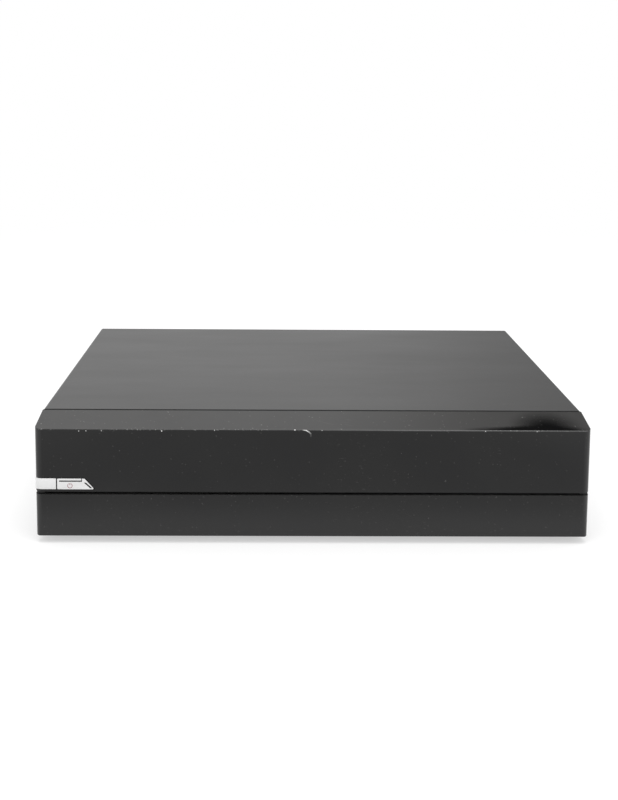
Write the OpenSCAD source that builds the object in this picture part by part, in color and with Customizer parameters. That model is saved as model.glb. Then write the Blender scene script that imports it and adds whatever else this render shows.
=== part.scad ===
// Television decoder box: a folded steel case with a raked plastic front, a drop-down flap,
// a silver standby button, and the boards, sockets and switches that the case holds.

/* [Case] */
// Width over the plastic front
body_w = 302.2; // [290:0.2:330]
// Depth from the top edge of the front to the back of the cover
body_d = 240; // [220:1:270]
// Height of the case without its feet
body_h = 64.4; // [60:0.2:75]
// Thickness of the folded steel sheet
sheet_t = 1; // [0.8:0.1:1.2]
// Outer radius of the folds in the sheet
bend_r = 1.8; // [1.4:0.1:2.5]
// How far each side of the cover stands in from the front
cover_in = 1.1; // [0.5:0.1:2.5]
// Step from the front's sides to the cover at the seam
seam_step = 0.1; // [0:0.05:0.4]
// Gap between the front and the cover
seam_gap = 0.7; // [0.4:0.1:1.2]
// Height of the cover's fold over the rear panel
lip_h = 9; // [8:0.5:12]
// Height of the pan's side flanges
pan_flange_h = 14; // [12:1:20]
// Height of the pan's front flange
pan_front_h = 4; // [3:0.5:4.5]
// Slip gap between sheets that nest
slip = 0.15; // [0.1:0.05:0.3]
// Side vent slots: width
vent_w = 2.6; // [2:0.1:3.5]
// Side vent slots: height
vent_h = 18; // [12:1:24]
// Side vent slots: spacing
vent_pitch = 6.5; // [5:0.5:9]
// Side vent slots: number
vent_count = 16; // [8:1:18]

/* [Front] */
// Lean of the front face, in degrees from upright
rake = 6; // [3:0.5:8]
// Radius of the front's upright corners
corner_r = 4; // [3:0.5:7]
// Depth of the sloping top strip
strip_run = 19.7; // [18:0.1:24]
// Fall of the sloping top strip
strip_drop = 5.5; // [4:0.1:7]
// Radius of the worn edge between strip and face
edge_r = 0.8; // [0.4:0.1:1.5]
// Radius of the strip's side edges
crown_r = 1; // [0.6:0.1:2]
// Wall of the upper fascia
fascia_t = 2.5; // [2:0.1:3]
// Height of the flap
flap_h = 23; // [22:0.1:24]
// Height of the groove above the flap
groove_h = 1.7; // [1.4:0.1:2.2]
// Depth of the groove at its two ends
groove_end_d = 0.3; // [0.2:0.1:1]

/* [Flap] */
// Wall of the flap
flap_t = 2.6; // [2.2:0.1:3]
// Thickness of the flap's bottom flange
flange_t = 1.6; // [1.2:0.1:1.8]
// Depth of the flap's bottom flange
flange_d = 8; // [7.5:0.1:8.2]
// Depth of the flap's side returns
return_d = 10.6; // [10:0.1:10.8]
// Hinge axis behind the foot of the face
hinge_d = 6.5; // [6.3:0.1:6.8]
// Hinge axis above the underside
hinge_h = 4.6; // [4.5:0.1:5]
// Radius of the hinge pins
pin_r = 1.5; // [1.2:0.1:1.6]
// Radius of the flap's knuckles
ear_r = 3.2; // [3.1:0.1:3.4]
// Width of the flap's knuckles
ear_w = 5; // [4:0.5:6]
// Radius of the frame's hinge lugs
lug_r = 2.6; // [2.4:0.1:2.7]
// Width of the frame's hinge lugs
lug_w = 4; // [3:0.5:5]
// Side gap of the hinge
hinge_gap = 0.4; // [0.3:0.1:0.6]
// Radial clearance of a pin or plunger in its hole
run_gap = 0.05; // [0.03:0.01:0.08]
// Radius of the flap's bottom front edge
flap_edge_r = 0.7; // [0.5:0.1:1.5]
// Gap between the closed flap and the ledge above it
flap_gap = 0.3; // [0.3:0.1:0.5]
// Width of the latch tongue
tongue_w = 3; // [2:0.5:4]

/* [Recess] */
// Depth from the foot of the face to the inner wall
recess_d = 14; // [13.8:0.1:15]
// Thickness of the inner wall
inner_t = 2; // [1.6:0.1:2.4]
// Thickness of the recess floor
floor_t = 1.6; // [1.2:0.1:2]
// Thickness of the frame's side walls
side_t = 3; // [2.8:0.1:3.5]
// Height of the rim that locates the fascia
rim_h = 0.7; // [0.4:0.1:0.8]
// Clips that hold the frame to the pan: width
clip_w = 14; // [10:1:18]
// Clips that hold the frame to the pan: reach
clip_d = 9; // [7:0.5:12]

/* [Standby button] */
// Width of the silver end trim
trim_w = 11.5; // [9:0.1:13]
// Length of the end trim along the side of the box
trim_side = 12; // [9:0.5:15]
// Depth of the end trim's seat
trim_t = 1.1; // [0.8:0.1:1.4]
// How far trim and button stand proud of the face
silver_proud = 0.35; // [0.1:0.05:0.6]
// Gap round trim and button
silver_gap = 0.3; // [0.25:0.05:0.6]
// Rib between trim and button
rib_w = 0.35; // [0.3:0.05:1]
// Length of the button's lower edge
button_w = 20.2; // [19:0.1:24]
// Height of the button
button_h = 5.9; // [5.6:0.1:7]
// How much shorter the button's upper edge is
button_slant = 5.4; // [3:0.1:5.6]
// Strip of fascia below the button
button_lip = 1.3; // [1.1:0.05:1.5]
// Travel of the button
button_travel = 0.8; // [0.4:0.1:0.9]
// Radius of the button's post
post_r = 1.8; // [1.7:0.1:2]
// Slits that part the button's rim from its field: width
slit_w = 0.7; // [0.5:0.05:0.9]
// Slits that part the button's rim from its field: depth
slit_d = 1.4; // [0.6:0.1:2]
// Height of the button's upper rim
rim_bar_h = 1.05; // [0.8:0.05:1.3]

/* [Keys] */
// Width of a key
key_w = 8; // [7:0.1:8.6]
// Height of a key
key_h = 5; // [4:0.1:6]
// First key from the left side of the box
key_in = 23.5; // [22:0.5:25]
// Spacing of the keys
key_pitch = 12; // [11.5:0.1:12.5]
// How far a key stands proud of the inner wall
key_proud = 1.2; // [0.8:0.1:1.5]
// Travel of a key
key_travel = 0.5; // [0.3:0.1:0.6]
// Gap round a key
key_gap = 0.25; // [0.2:0.05:0.4]

/* [Boards] */
// Thickness of the circuit boards
board_t = 1.6; // [1.2:0.1:2]
// Height of the pan's embossed posts
post_h = 4; // [3.6:0.1:6]
// Radius of the posts' flat tops
post_top_r = 2.8; // [2.5:0.1:3.5]
// Gap between the two boards
board_gap = 8; // [6:0.5:12]
// Board beyond the outermost socket
board_margin = 3; // [2:0.5:5]
// Front board behind the face
front_board_n = 13; // [12.5:0.1:13.5]
// Width of the display
display_w = 104; // [80:1:120]
// Height of the display
display_h = 18; // [14:1:19]

/* [Front sockets] */
// Width inside the access-module slot
module_w = 55.2; // [54.6:0.1:56]
// Height inside the access-module slot
module_h = 6; // [5.6:0.1:6.2]
// Depth of the access-module cage
cage_d = 88; // [80:1:95]
// Access-module slot from the right side of the box
module_in = 50.5; // [49:0.5:52]
// Width of the card slot
card_w = 54.6; // [54.2:0.1:55]
// Height of the card slot
card_h = 1.6; // [1.2:0.1:2]
// Card slot from the right side of the box
card_in = 118.5; // [116:0.5:120]
// Front data socket from the left side of the box
data_in = 106.5; // [105:0.5:108]

/* [Rear sockets] */
// Reach of the aerial connectors behind the cover
jack_reach = 9; // [8.5:0.5:12]
// Reach of the phono jacks behind the cover
phono_reach = 8; // [7:0.5:8.5]
// Radius of the phono sleeves
phono_r = 4.15; // [4:0.05:4.3]
// Radius of the phono pin's hole
phono_bore_r = 1.7; // [1.6:0.05:1.8]
// Spacing of the phono jacks
phono_pitch = 15; // [14:0.5:15.5]
// Phono jacks from the right side of the box
phono_in = 131.5; // [130.5:0.5:132.5]
// Outer radius of the aerial input
aerial_r = 4.75; // [4.6:0.05:4.9]
// Radius of the aerial pin's hole
aerial_bore_r = 1.2; // [1.1:0.05:1.3]
// Aerial input from the side of the box
aerial_in = 24; // [22:0.5:26]
// Distance between the aerial connectors
aerial_pitch = 23; // [22:0.5:24]
// Audio-video sockets from the right side of the box
av_in = 87.5; // [87:0.5:89]
// Width of an audio-video socket
av_w = 47; // [46:0.5:48]
// Height of an audio-video socket
av_h = 13.4; // [13:0.1:14]
// Digital video socket from the right side of the box
video_in = 157.5; // [156.5:0.5:158]
// Rear data socket from the right side of the box
rear_data_in = 174; // [173.5:0.5:174.5]
// Network jack from the right side of the box
network_in = 192.5; // [192:0.5:194]
// Mains inlet from the side of the box
inlet_in = 28; // [27:0.5:30]
// Mains switch from the side of the box
switch_in = 58; // [56:0.5:60]
// Height of inlet and switch above the pan
mains_h = 20; // [18:0.5:24]
// Tilt of the mains rocker to each side, in degrees
rocker_tilt = 8; // [6:0.5:9]

/* [Feet] */
// Height of the feet
foot_h = 4; // [3:0.5:6]
// Radius of the feet
foot_r = 9; // [7:0.5:11]
// Feet from the sides of the box
foot_in = 30; // [24:1:36]

/* [Hidden] */
$fn = 48;

// How far a cutter runs past what it cuts
cut = 2;
// Small overlap that keeps a rounding clear of the face it leaves
nick = 0.01;

// Heights
z_case = foot_h;
z_floor = z_case + sheet_t;
z_top = z_case + body_h;
z_edge = z_top - strip_drop;
z_flap = z_case + flap_h;
z_fascia = z_flap + groove_h;
z_ledge = z_flap + flap_gap;
z_hinge = z_case + hinge_h;
z_board = z_floor + post_h;
z_parts = z_board + board_t;

// Depths
rake_run = (z_edge - z_case) * tan(rake);
total_d = rake_run + body_d + jack_reach;
y_front = -total_d / 2;
y_edge = y_front + rake_run;
y_seam = y_edge + strip_run;
y_cover = y_seam + seam_gap;
y_back = y_edge + body_d;
y_panel1 = y_back - sheet_t;
y_panel0 = y_panel1 - sheet_t;
y_hinge = y_front + hinge_d;
y_wall0 = y_front + recess_d;
y_wall1 = y_wall0 + inner_t;

// Widths
half_w = body_w / 2;
cover_hw = half_w - cover_in;
pan_hw = cover_hw - sheet_t - slip;
module_x = half_w - module_in;
card_x = half_w - card_in;
key_x0 = key_in - half_w;
phono_x = half_w - phono_in;
av_x = half_w - av_in;
video_x = half_w - video_in;
rear_data_x = half_w - rear_data_in;
network_x = half_w - network_in;
network_w = 16.2;
main_x0 = network_x - network_w / 2 - board_margin;
data_w = 13.2;
data_x = max(data_in - half_w, main_x0 + data_w / 2);
main_x1 = pan_hw - sheet_t - 5;
supply_x0 = -main_x1;
supply_x1 = main_x0 - board_gap;
supply_x = (supply_x0 + supply_x1) / 2;
slope = atan(strip_drop / strip_run);
flare = (cover_in - seam_step) / (strip_run - corner_r);
flange_reach = norm([flange_d - hinge_d, hinge_h]);

// Board edges and posts
main_y0 = y_wall1 + 2.5;
main_y1 = y_panel0 - 1;
supply_y0 = y_front + 70;
main_posts = [[main_x0 + 6, main_y0 + 28], [main_x1 - 5, main_y0 + 42], [main_x0 + 5, main_y1 - 37],
    [av_x + 22, main_y1 - 44], [module_x - 35, y_front + 120], [phono_x - 30, y_front + 120]];
supply_posts = [for (x = [supply_x0 + 5, supply_x1 - 5], y = [supply_y0 + 10, main_y1 - 45]) [x, y]];
posts = concat(main_posts, supply_posts);
feet_at = [for (x = [foot_in - half_w, half_w - foot_in], y = [y_cover + 20, y_back - 22]) [x, y]];
clips_at = [50 - half_w, 0, half_w - 50];

// Fasteners
screw_r = 1.4;
screw_head_r = 2.8;
screw_head_h = 1.6;
screw_cross_w = 0.7;
screw_slack = 0.05;
board_screw_l = 3;
lip_screws_at = [40 - half_w, 0, half_w - 40];
lip_screw_z = z_top - lip_h / 2;
cover_screw_l = 5;

// Standby button, measured on the raked face
button_v0 = (z_fascia - z_case) / cos(rake) + button_lip;
button_v1 = button_v0 + button_h;
button_x0 = trim_w + rib_w + silver_gap - half_w;
button_x = button_x0 + (button_w - button_slant / 2) / 2;
button_v = (button_v0 + button_v1) / 2;
button_flange_t = 1;
button_flange_w = 0.9;
button_stop = 0.1;
switch_w = 6;
switch_h = 4.5;
switch_n = front_board_n - switch_h;
switch_lift = 0.6;
switch_v = button_v0 + switch_lift + switch_w / 2;
plunger_r = 1.6;
plunger_out = 1.3;
plunger_in = 1.1;
boss_r = 3;
boss_bore_r = screw_r + screw_slack;

// Front board, measured on the raked face
front_board_hw = half_w - fascia_t - 6;
front_board_v0 = button_v - 2.3;
front_board_v1 = (z_edge - z_case) / cos(rake) - 4;
front_board_n1 = front_board_n + board_t;
display_n = 7;
display_v0 = front_board_v1 - display_h - 1;
boss_places = [[half_w - 40, front_board_v1 - 7], [display_w / 2 + 20, front_board_v0 + 5]];
front_bosses = [for (s = [-1, 1], p = boss_places) [s * p.x, p.y]];
receiver_x = display_w / 2 + 26;
receiver_v = front_board_v1 - 9;
led_x = button_x - 6;

// Row of keys and sockets behind the flap
row_z = z_parts + 4;
key_names = ["key_menu", "key_ok", "key_volume_down", "key_volume_up", "key_channel_down", "key_channel_up"];
key_rest = 0.1;
key_flange_t = 0.9;
key_flange_w = 1;
key_free = 0.1;
key_switch_h = 3.5;
key_plunger_h = 0.4;
key_plunger_r = 1.75;
key_board_y = y_wall1 + key_rest + key_flange_t + key_travel + key_free + key_plunger_h + key_switch_h;
key_board_x = [key_x0 - 11, key_x0 + 5 * key_pitch + 8];
key_board_z = [z_parts + 0.5, z_ledge - 2];
key_bosses = [[key_x0 + 8, z_ledge - 5.5], [key_x0 + 52, z_ledge - 5.5]];
key_boss_r = 2.5;

// Sockets
cage_t = 0.9;
cage_lift = 1.2;
cage_z = z_parts + cage_lift + module_h / 2;
cage_y0 = y_wall1 + 0.2;
card_reader_d = 52;
card_reader_h = 5.6;
card_z = z_parts + 2.8;
data_h = 5.8;
data_t = 0.5;
data_d = 14.5;
tongue_t = 1.9;
tongue_in = 1;
video_w = 15;
video_h = 5.8;
socket_gap = 0.3;
socket_proud = 0.5;
network_h = 13.6;
network_d = 20;
plug_w = 12;
plug_h = 8;
plug_d = 14;
phono_z = z_parts + 8;
phono_base_r = 5.5;
phono_base_d = 1.5;
phono_core_r = 3.3;
phono_core_in = 0.6;
phono_bore_d = 9;
phono_block_d = 10;
aerial_z = z_parts + 8;
aerial_x = [half_w - aerial_in, half_w - aerial_in - aerial_pitch];
aerial_flange_r = 6.4;
aerial_core_r = 3.7;
aerial_out_r = 5.5;
tuner_w = 48;
tuner_h = 16;
tuner_d = 60;
av_z = [z_parts + 9.4, z_parts + 27.6];
av_block_d = 14;
av_wall = 1.4;
av_groove = 1.8;
av_proud = 1.2;
av_corner_r = 1;
inlet_x = inlet_in - half_w;
inlet_w = 16.4;
inlet_h = 8.8;
inlet_body_w = 22;
inlet_body_h = 13.4;
inlet_flange_w = 28;
inlet_flange_h = 18;
inlet_flange_d = 2;
inlet_body_d = 16;
inlet_depth = 13;
inlet_pin_r = 1.2;
inlet_pin_pitch = 8.6;
mains_z = z_floor + mains_h;
switch_x = switch_in - half_w;
rocker_w = 11;
rocker_h = 17;
rocker_gap = 0.4;
rocker_y = y_panel1 - 3;
housing_t = 1.4;
housing_d = 13;
housing_flange = 2;
housing_flange_d = 1.8;

// Parts on the boards
chip_at = [phono_x - 5, main_y1 - 83];
chip_w = 27;
chip_h = 2.3;
chip_step = 4;
sink_w = 40;
sink_h = 14;
sink_base = 3;
fin_t = 1.4;
groove_w = 2;
memory_w = 9;
memory_d = 14;
memory_h = 1.2;
memory_at = [[35, -12], [35, 10], [-37, -5], [0, -42]];
transformer_at = [supply_x, main_y1 - 88];
transformer_w = 32;
transformer_d = 28;
transformer_h = 26;
winding_h = 12;
can_at = [supply_x1 - 16, main_y1 - 60];
can_r = 9;
can_h = 32;
comb_at = [supply_x, main_y1 - 126];
comb_l = 40;
comb_d = 8;
comb_h = 26;
filter_at = [inlet_x, main_y1 - 32];
filter_w = 18;
filter_d = 16;
filter_h = 20;
fuse_at = [supply_x1 - 14, main_y1 - 26];
fuse_r = 2.6;
fuse_l = 20;

// Cables
ribbon_x = [card_x - card_w / 2 - 36, card_x - card_w / 2 - 14];
ribbon_t = 0.4;
ribbon_v = front_board_v0 + 4;
ribbon_y = main_y0 + 22;
cable_socket_d = 4;
cable_socket_h = 4;
harness_y = main_y1 - 95;
harness_w = 12;
harness_t = 1.6;
harness_rise = 14;

function unit(v) = v / norm(v);

// Outline whose corners are each rounded by their own radius
function rounded(pts, radii, steps = 6) = [
    for (i = [0 : len(pts) - 1])
        let (
            n = len(pts),
            p = pts[i],
            a = unit(pts[(i + n - 1) % n] - p),
            b = unit(pts[(i + 1) % n] - p),
            half = acos(a * b) / 2,
            r = radii[i],
            c = p + unit(a + b) * r / sin(half),
            t = p + a * r / tan(half) - c,
            turn = (a.y * b.x - a.x * b.y > 0 ? 1 : -1) * (180 - 2 * half) / steps,
            start = atan2(t.y, t.x)
        )
        each (r <= 0 ? [p] : [for (k = [0 : steps]) c + r * [cos(start + k * turn), sin(start + k * turn)]])
];

function box_points(w, h) = [[-w / 2, -h / 2], [w / 2, -h / 2], [w / 2, h / 2], [-w / 2, h / 2]];

// Outline of the button, grown by g, and by foot at its lower edge
function button_points(g, foot) =
    let (k = button_slant / button_h, side = g * norm([1, k]), x1 = button_x0 + button_w + side)
    [[button_x0 - g, button_v0 - foot], [x1 + foot * k, button_v0 - foot],
     [x1 - (button_h + g) * k, button_v1 + g], [button_x0 - g, button_v1 + g]];

module block(lo, hi) {
    translate(lo) cube(hi - lo);
}

module both_sides() {
    children();
    mirror([1, 0, 0]) children();
}

// Extrusions of outlines drawn as seen from the right and from the front
module along_x(x0, x1) {
    translate([x0, 0, 0]) rotate([90, 0, 90]) linear_extrude(x1 - x0) children();
}

module along_y(y0, y1) {
    translate([0, y1, 0]) rotate([90, 0, 0]) linear_extrude(y1 - y0) children();
}

module rod_y(x, z, y0, y1, r) {
    translate([x, y0, z]) rotate([-90, 0, 0]) cylinder(h = y1 - y0, r = r);
}

module rounded_box(w, h, r) {
    polygon(rounded(box_points(w, h), [r, r, r, r]));
}

module oblong(w, h) {
    square([w - h, h], center = true);
    for (s = [-1, 1])
        translate([s * (w - h) / 2, 0]) circle(h / 2);
}

// Frame of the raked face: x across, y into the box, z up the face from its foot
module raked() {
    translate([0, y_front, z_case]) rotate([-rake, 0, 0]) children();
}

// Plan of the front, whose sides draw in from the corners towards the cover
module front_plan(inset) {
    r = max(corner_r - inset, 0.3);
    hw = half_w - inset;
    depth = rake_run + strip_run + 20;
    rear_hw = hw - flare * (depth - inset - r);
    polygon([[-hw, inset + r], [hw, inset + r], [rear_hw, depth], [-rear_hw, depth]]);
    translate([r - hw, inset]) square([2 * (hw - r), r + nick]);
    for (s = [-1, 1])
        translate([s * (hw - r), inset + r]) circle(r);
}

// Upright prism of the front's plan, leaning with the face
module front_column(inset) {
    raked() translate([0, 0, -10]) linear_extrude(body_h + 20) front_plan(inset);
}

// Prism under the sloping strip, rounded along the upper edge of its right side
module crown_half(inset) {
    r = max(crown_r - inset, 0.4);
    far = 2 * half_w + 20;
    translate([half_w - inset + nick, corner_r, 0]) rotate(atan(flare))
        along_y(-60, strip_run + 40)
            polygon(rounded([[-far, -body_h], [0, -body_h], [0, 0], [-far, 0]], [0, 0, r, 0]));
}

// Prism under the sloping strip, with both side edges rounded
module crown(inset) {
    translate([0, y_edge, z_edge]) rotate([slope, 0, 0]) translate([0, 0, -inset])
        intersection() {
            crown_half(inset);
            mirror([1, 0, 0]) crown_half(inset);
        }
}

// Cutter that rounds an edge at p between faces whose outward normals are at angles a and b
module edge_round(p, a, b, r) {
    na = [cos(a), sin(a)];
    nb = [cos(b), sin(b)];
    mid = na + nb;
    c = p - mid * (r / (1 + na * nb) - nick);
    steps = 6;
    along_x(-half_w - cut, half_w + cut)
        polygon(concat([for (k = [0 : steps]) let (t = a + (b - a) * k / steps) c + r * [cos(t), sin(t)]],
            [c + (r + cut) * nb, p + mid * cut, c + (r + cut) * na]));
}

module screw(l) {
    cross_l = screw_head_r * 1.2;
    difference() {
        union() {
            cylinder(h = screw_head_h, r1 = screw_head_r, r2 = screw_head_r * 0.75);
            translate([0, 0, -l]) cylinder(h = l + nick, r = screw_r);
        }
        for (turn = [0, 90])
            rotate(turn) translate([-cross_l / 2, -screw_cross_w / 2, screw_head_h / 2])
                cube([cross_l, screw_cross_w, screw_head_h]);
    }
}

// Front mouldings

module trim_band(outer, inner, grow) {
    intersection() {
        difference() {
            front_column(outer);
            front_column(inner);
        }
        raked() block([-half_w - cut, -cut, button_v0 - grow],
            [trim_w - half_w, trim_side + grow, button_v1 + grow]);
    }
}

module fascia_panel() {
    face_angle = 180 - rake;
    color("#16161a") difference() {
        union() {
            difference() {
                intersection() {
                    front_column(0);
                    crown(0);
                    block([-half_w - cut, y_front - cut, z_fascia], [half_w + cut, y_seam, z_top + cut]);
                }
                intersection() {
                    front_column(fascia_t);
                    crown(fascia_t);
                    block([-half_w, y_front - cut, z_fascia - cut], [half_w, y_seam + cut, z_top + cut]);
                }
            }
            raked() for (p = front_bosses)
                rod_y(p.x, p.y, fascia_t - 0.5, front_board_n, boss_r);
        }
        edge_round([y_edge, z_edge], face_angle, 90 + slope, edge_r);
        raked() for (p = front_bosses)
            rod_y(p.x, p.y, fascia_t + 2, front_board_n + cut, boss_bore_r);
        trim_band(-cut, trim_t, silver_gap);
        raked() along_y(-cut, fascia_t + cut)
            polygon(rounded(button_points(silver_gap, silver_gap), [0.6, 0.6, 0.6, 0.6]));
    }
}

module end_trim() {
    color("#d9dadb") trim_band(-silver_proud, trim_t, 0);
}

// Cuts that part the button's rim from its field: one under the upper bar, one beside the slanted end
module button_slits() {
    bar_in = 1.1;
    bar_end = 1.3;
    end_w = 0.4;
    end_slit_w = 1.7 * slit_w;
    rim_low = 0.65;
    rim_high = 1.2;
    low = 0.6;
    high = 3.7;
    slant = button_slant / button_h;
    x1 = button_x0 + button_w;
    bar_x = x1 - button_slant - bar_end;
    bar_v = button_v1 - rim_bar_h - slit_w;
    translate([button_x0 + bar_in, bar_v]) square([bar_x - button_x0 - bar_in, slit_w]);
    translate([bar_x - end_w, bar_v]) square([end_w, button_h]);
    polygon([[x1 - rim_low - low * slant, button_v0 + low], [x1 - rim_high - high * slant, button_v0 + high],
        [x1 - rim_high - end_slit_w - high * slant, button_v0 + high],
        [x1 - rim_low - end_slit_w - low * slant, button_v0 + low]]);
}

module power_button() {
    flange_n = fascia_t + button_stop;
    post_n = flange_n + button_flange_t;
    color("#d9dadb") raked() difference() {
        union() {
            along_y(-silver_proud, flange_n) polygon(rounded(button_points(0, 0), [0.5, 0.5, 0.5, 0.5]));
            along_y(flange_n, post_n) polygon(button_points(silver_gap + button_flange_w, 0));
            rod_y(button_x, switch_v, post_n, switch_n - plunger_out, post_r);
        }
        along_y(-silver_proud - cut, slit_d - silver_proud) button_slits();
    }
}

module switch_plunger() {
    color("#2b2b2e") raked()
        rod_y(button_x, switch_v, switch_n - plunger_out, switch_n + plunger_in, plunger_r);
}

module power_switch() {
    color("#3a3a3d") raked() difference() {
        along_y(switch_n, front_board_n) translate([button_x, switch_v]) rounded_box(switch_w, switch_w, 0.6);
        rod_y(button_x, switch_v, switch_n - cut, switch_n + plunger_in + button_travel + 0.3,
            plunger_r + run_gap);
    }
}

module flap_profile() {
    intersection() {
        union() {
            translate([y_front - cut, z_case]) square([flange_d + cut, flap_h]);
            translate([y_front, z_hinge]) square([return_d, flap_h - hinge_h]);
            translate([y_hinge, z_hinge]) circle(flange_reach);
        }
        translate([y_front - cut, z_case]) square([return_d + cut, flap_h]);
        union() {
            translate([y_front - cut, z_case]) square([hinge_d + cut, flap_h]);
            translate([y_hinge, z_hinge]) circle(flap_h - hinge_h);
        }
    }
}

module front_flap() {
    ear_x = half_w - side_t - lug_w - hinge_gap - ear_w - 1.6;
    lug_x = ear_x + ear_w;
    tongue_y = y_wall0 - 2.5;
    tongue_z = z_ledge - 4.4;
    tongue_h = 1.6;
    color("#1b1b1e") difference() {
        union() {
            difference() {
                intersection() {
                    front_column(0);
                    along_x(-half_w - cut, half_w + cut) flap_profile();
                }
                intersection() {
                    front_column(flap_t);
                    block([-half_w, y_front - cut, z_case + flange_t], [half_w, y_wall0, z_flap + cut]);
                }
            }
            intersection() {
                front_column(flap_t - 0.5);
                union() {
                    both_sides() along_x(ear_x, ear_x + ear_w) {
                        translate([y_hinge, z_hinge]) circle(ear_r);
                        translate([y_front, z_case + flange_t / 2]) square([hinge_d, ear_r + hinge_h - 1.6]);
                    }
                    block([-tongue_w / 2, y_front, tongue_z], [tongue_w / 2, tongue_y, tongue_z + tongue_h]);
                    for (x = [-90, -45, 45, 90])
                        block([x - 0.7, y_front, z_case + flange_t / 2], [x + 0.7, y_hinge, z_hinge + 6]);
                }
            }
        }
        edge_round([y_front, z_case], 270, 180 - rake, flap_edge_r);
        both_sides() {
            translate([ear_x - cut, y_hinge, z_hinge]) rotate([0, 90, 0])
                cylinder(h = ear_w + 2 * cut, r = pin_r + run_gap);
            block([lug_x + nick, y_front + flap_t + 0.9, z_case - cut],
                [lug_x + lug_w + 2 * hinge_gap, y_wall0, z_hinge]);
        }
    }
}

module flap_pins() {
    x0 = half_w - side_t - lug_w - hinge_gap - ear_w - 1.6;
    color("#b9bcc0") both_sides() translate([x0 + 0.3, y_hinge, z_hinge]) rotate([0, 90, 0])
        cylinder(h = ear_w + hinge_gap + lug_w - 0.3, r = pin_r);
}

module inner_wall_openings() {
    for (i = [0 : len(key_names) - 1])
        translate([key_x0 + i * key_pitch, row_z]) oblong(key_w + 2 * key_gap, key_h + 2 * key_gap);
    translate([data_x, z_parts + data_h / 2])
        rounded_box(data_w + 2 * socket_gap, data_h + 2 * socket_gap, 0.6);
    translate([card_x, card_z]) rounded_box(card_w + 1, card_h + 1, 0.6);
    translate([module_x, cage_z]) rounded_box(module_w + 0.6, module_h + 0.6, 0.8);
}

module bezel_frame() {
    in_w = half_w - side_t;
    lug_x = in_w - lug_w - 1.6;
    floor_y = y_hinge + flange_reach + 0.5;
    ledge_in = flap_t + 0.4;
    ledge_y = y_wall1 + 2;
    clip_t = 1.6;
    color("#1b1b1e") difference() {
        union() {
            intersection() {
                front_column(ledge_in);
                block([-half_w, y_front - cut, z_ledge], [half_w, ledge_y, z_fascia]);
            }
            intersection() {
                difference() {
                    front_column(fascia_t);
                    front_column(fascia_t + 3);
                    block([button_x0 - 3, y_front - cut, z_fascia],
                        [button_x0 + button_w + 3, y_wall0, z_top]);
                }
                block([-half_w, y_front - cut, z_fascia - nick], [half_w, y_seam, z_fascia + rim_h]);
            }
            block([-in_w, y_wall0, z_case], [in_w, y_wall1, z_ledge + nick]);
            block([-in_w, floor_y, z_case], [in_w, y_seam, z_case + floor_t]);
            both_sides() {
                intersection() {
                    front_column(0);
                    block([in_w, y_front + return_d + 1.1, z_case], [half_w, y_seam, z_flap]);
                }
                intersection() {
                    front_column(groove_end_d);
                    block([in_w - 2, y_hinge - 2, z_ledge], [half_w, y_hinge, z_fascia]);
                }
                block([in_w - 1.6, floor_y, z_case], [in_w + nick, y_seam, z_fascia]);
                along_x(lug_x, lug_x + lug_w) {
                    translate([y_hinge, z_hinge]) circle(lug_r);
                    translate([y_hinge, z_hinge - lug_r])
                        square([y_wall0 - y_hinge + nick, 2 * lug_r]);
                }
            }
            for (p = key_bosses)
                rod_y(p.x, p.y, y_wall1 - nick, key_board_y, key_boss_r);
            for (x = clips_at) {
                block([x - clip_w / 2, y_seam - 4, z_case], [x + clip_w / 2, y_seam, z_floor + clip_t]);
                block([x - clip_w / 2, y_seam - 4, z_floor],
                    [x + clip_w / 2, y_seam + clip_d, z_floor + clip_t]);
                block([x - clip_w / 2, y_seam + clip_d - 2, z_case + slip],
                    [x + clip_w / 2, y_seam + clip_d, z_floor + nick]);
            }
        }
        along_y(y_wall0 - cut, y_wall1 + cut) inner_wall_openings();
        for (p = key_bosses)
            rod_y(p.x, p.y, y_wall1 + 1, key_board_y + cut, boss_bore_r);
        both_sides() translate([lug_x - cut, y_hinge, z_hinge]) rotate([0, 90, 0])
            cylinder(h = lug_w + cut, r = pin_r + run_gap / 2);
    }
}

module push_latch() {
    w = 14;
    d = 6;
    h = 6.6;
    mouth = tongue_w + 1;
    color("#2b2b2e") difference() {
        along_y(y_wall0 - d, y_wall0) translate([0, z_ledge - h / 2]) rounded_box(w, h, 0.8);
        block([-mouth / 2, y_wall0 - d - cut, z_ledge - h + 1.4], [mouth / 2, y_wall0 - 1, z_ledge - 1.2]);
    }
}

// Boards and parts behind the upper fascia

module front_board() {
    mid_v = (front_board_v0 + front_board_v1) / 2;
    color("#1f5a34") raked() difference() {
        along_y(front_board_n, front_board_n1) translate([0, mid_v])
            rounded_box(2 * front_board_hw, front_board_v1 - front_board_v0, 1.5);
        for (p = front_bosses)
            rod_y(p.x, p.y, front_board_n - cut, front_board_n1 + cut, boss_bore_r);
    }
}

module display_module() {
    mid_v = display_v0 + display_h / 2;
    color("#20242a") raked() {
        along_y(display_n, front_board_n - 1.5) translate([0, mid_v]) rounded_box(display_w, display_h, 1);
        along_y(front_board_n - 1.5, front_board_n) translate([0, mid_v])
            rounded_box(display_w - 6, display_h - 4, 1);
    }
}

module ir_receiver() {
    color("#26221f") raked() {
        along_y(front_board_n - 3, front_board_n) translate([receiver_x, receiver_v]) rounded_box(6, 7, 0.8);
        translate([receiver_x, front_board_n - 3, receiver_v]) sphere(2.4);
    }
}

module standby_led() {
    lens_r = 1.5;
    stem = 4;
    color("#c23a32") raked() {
        rod_y(led_x, button_v, front_board_n - stem, front_board_n, lens_r);
        translate([led_x, front_board_n - stem, button_v]) sphere(lens_r);
        rod_y(led_x, button_v, front_board_n - 1, front_board_n, lens_r + 0.4);
    }
}

// Keys behind the flap

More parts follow.
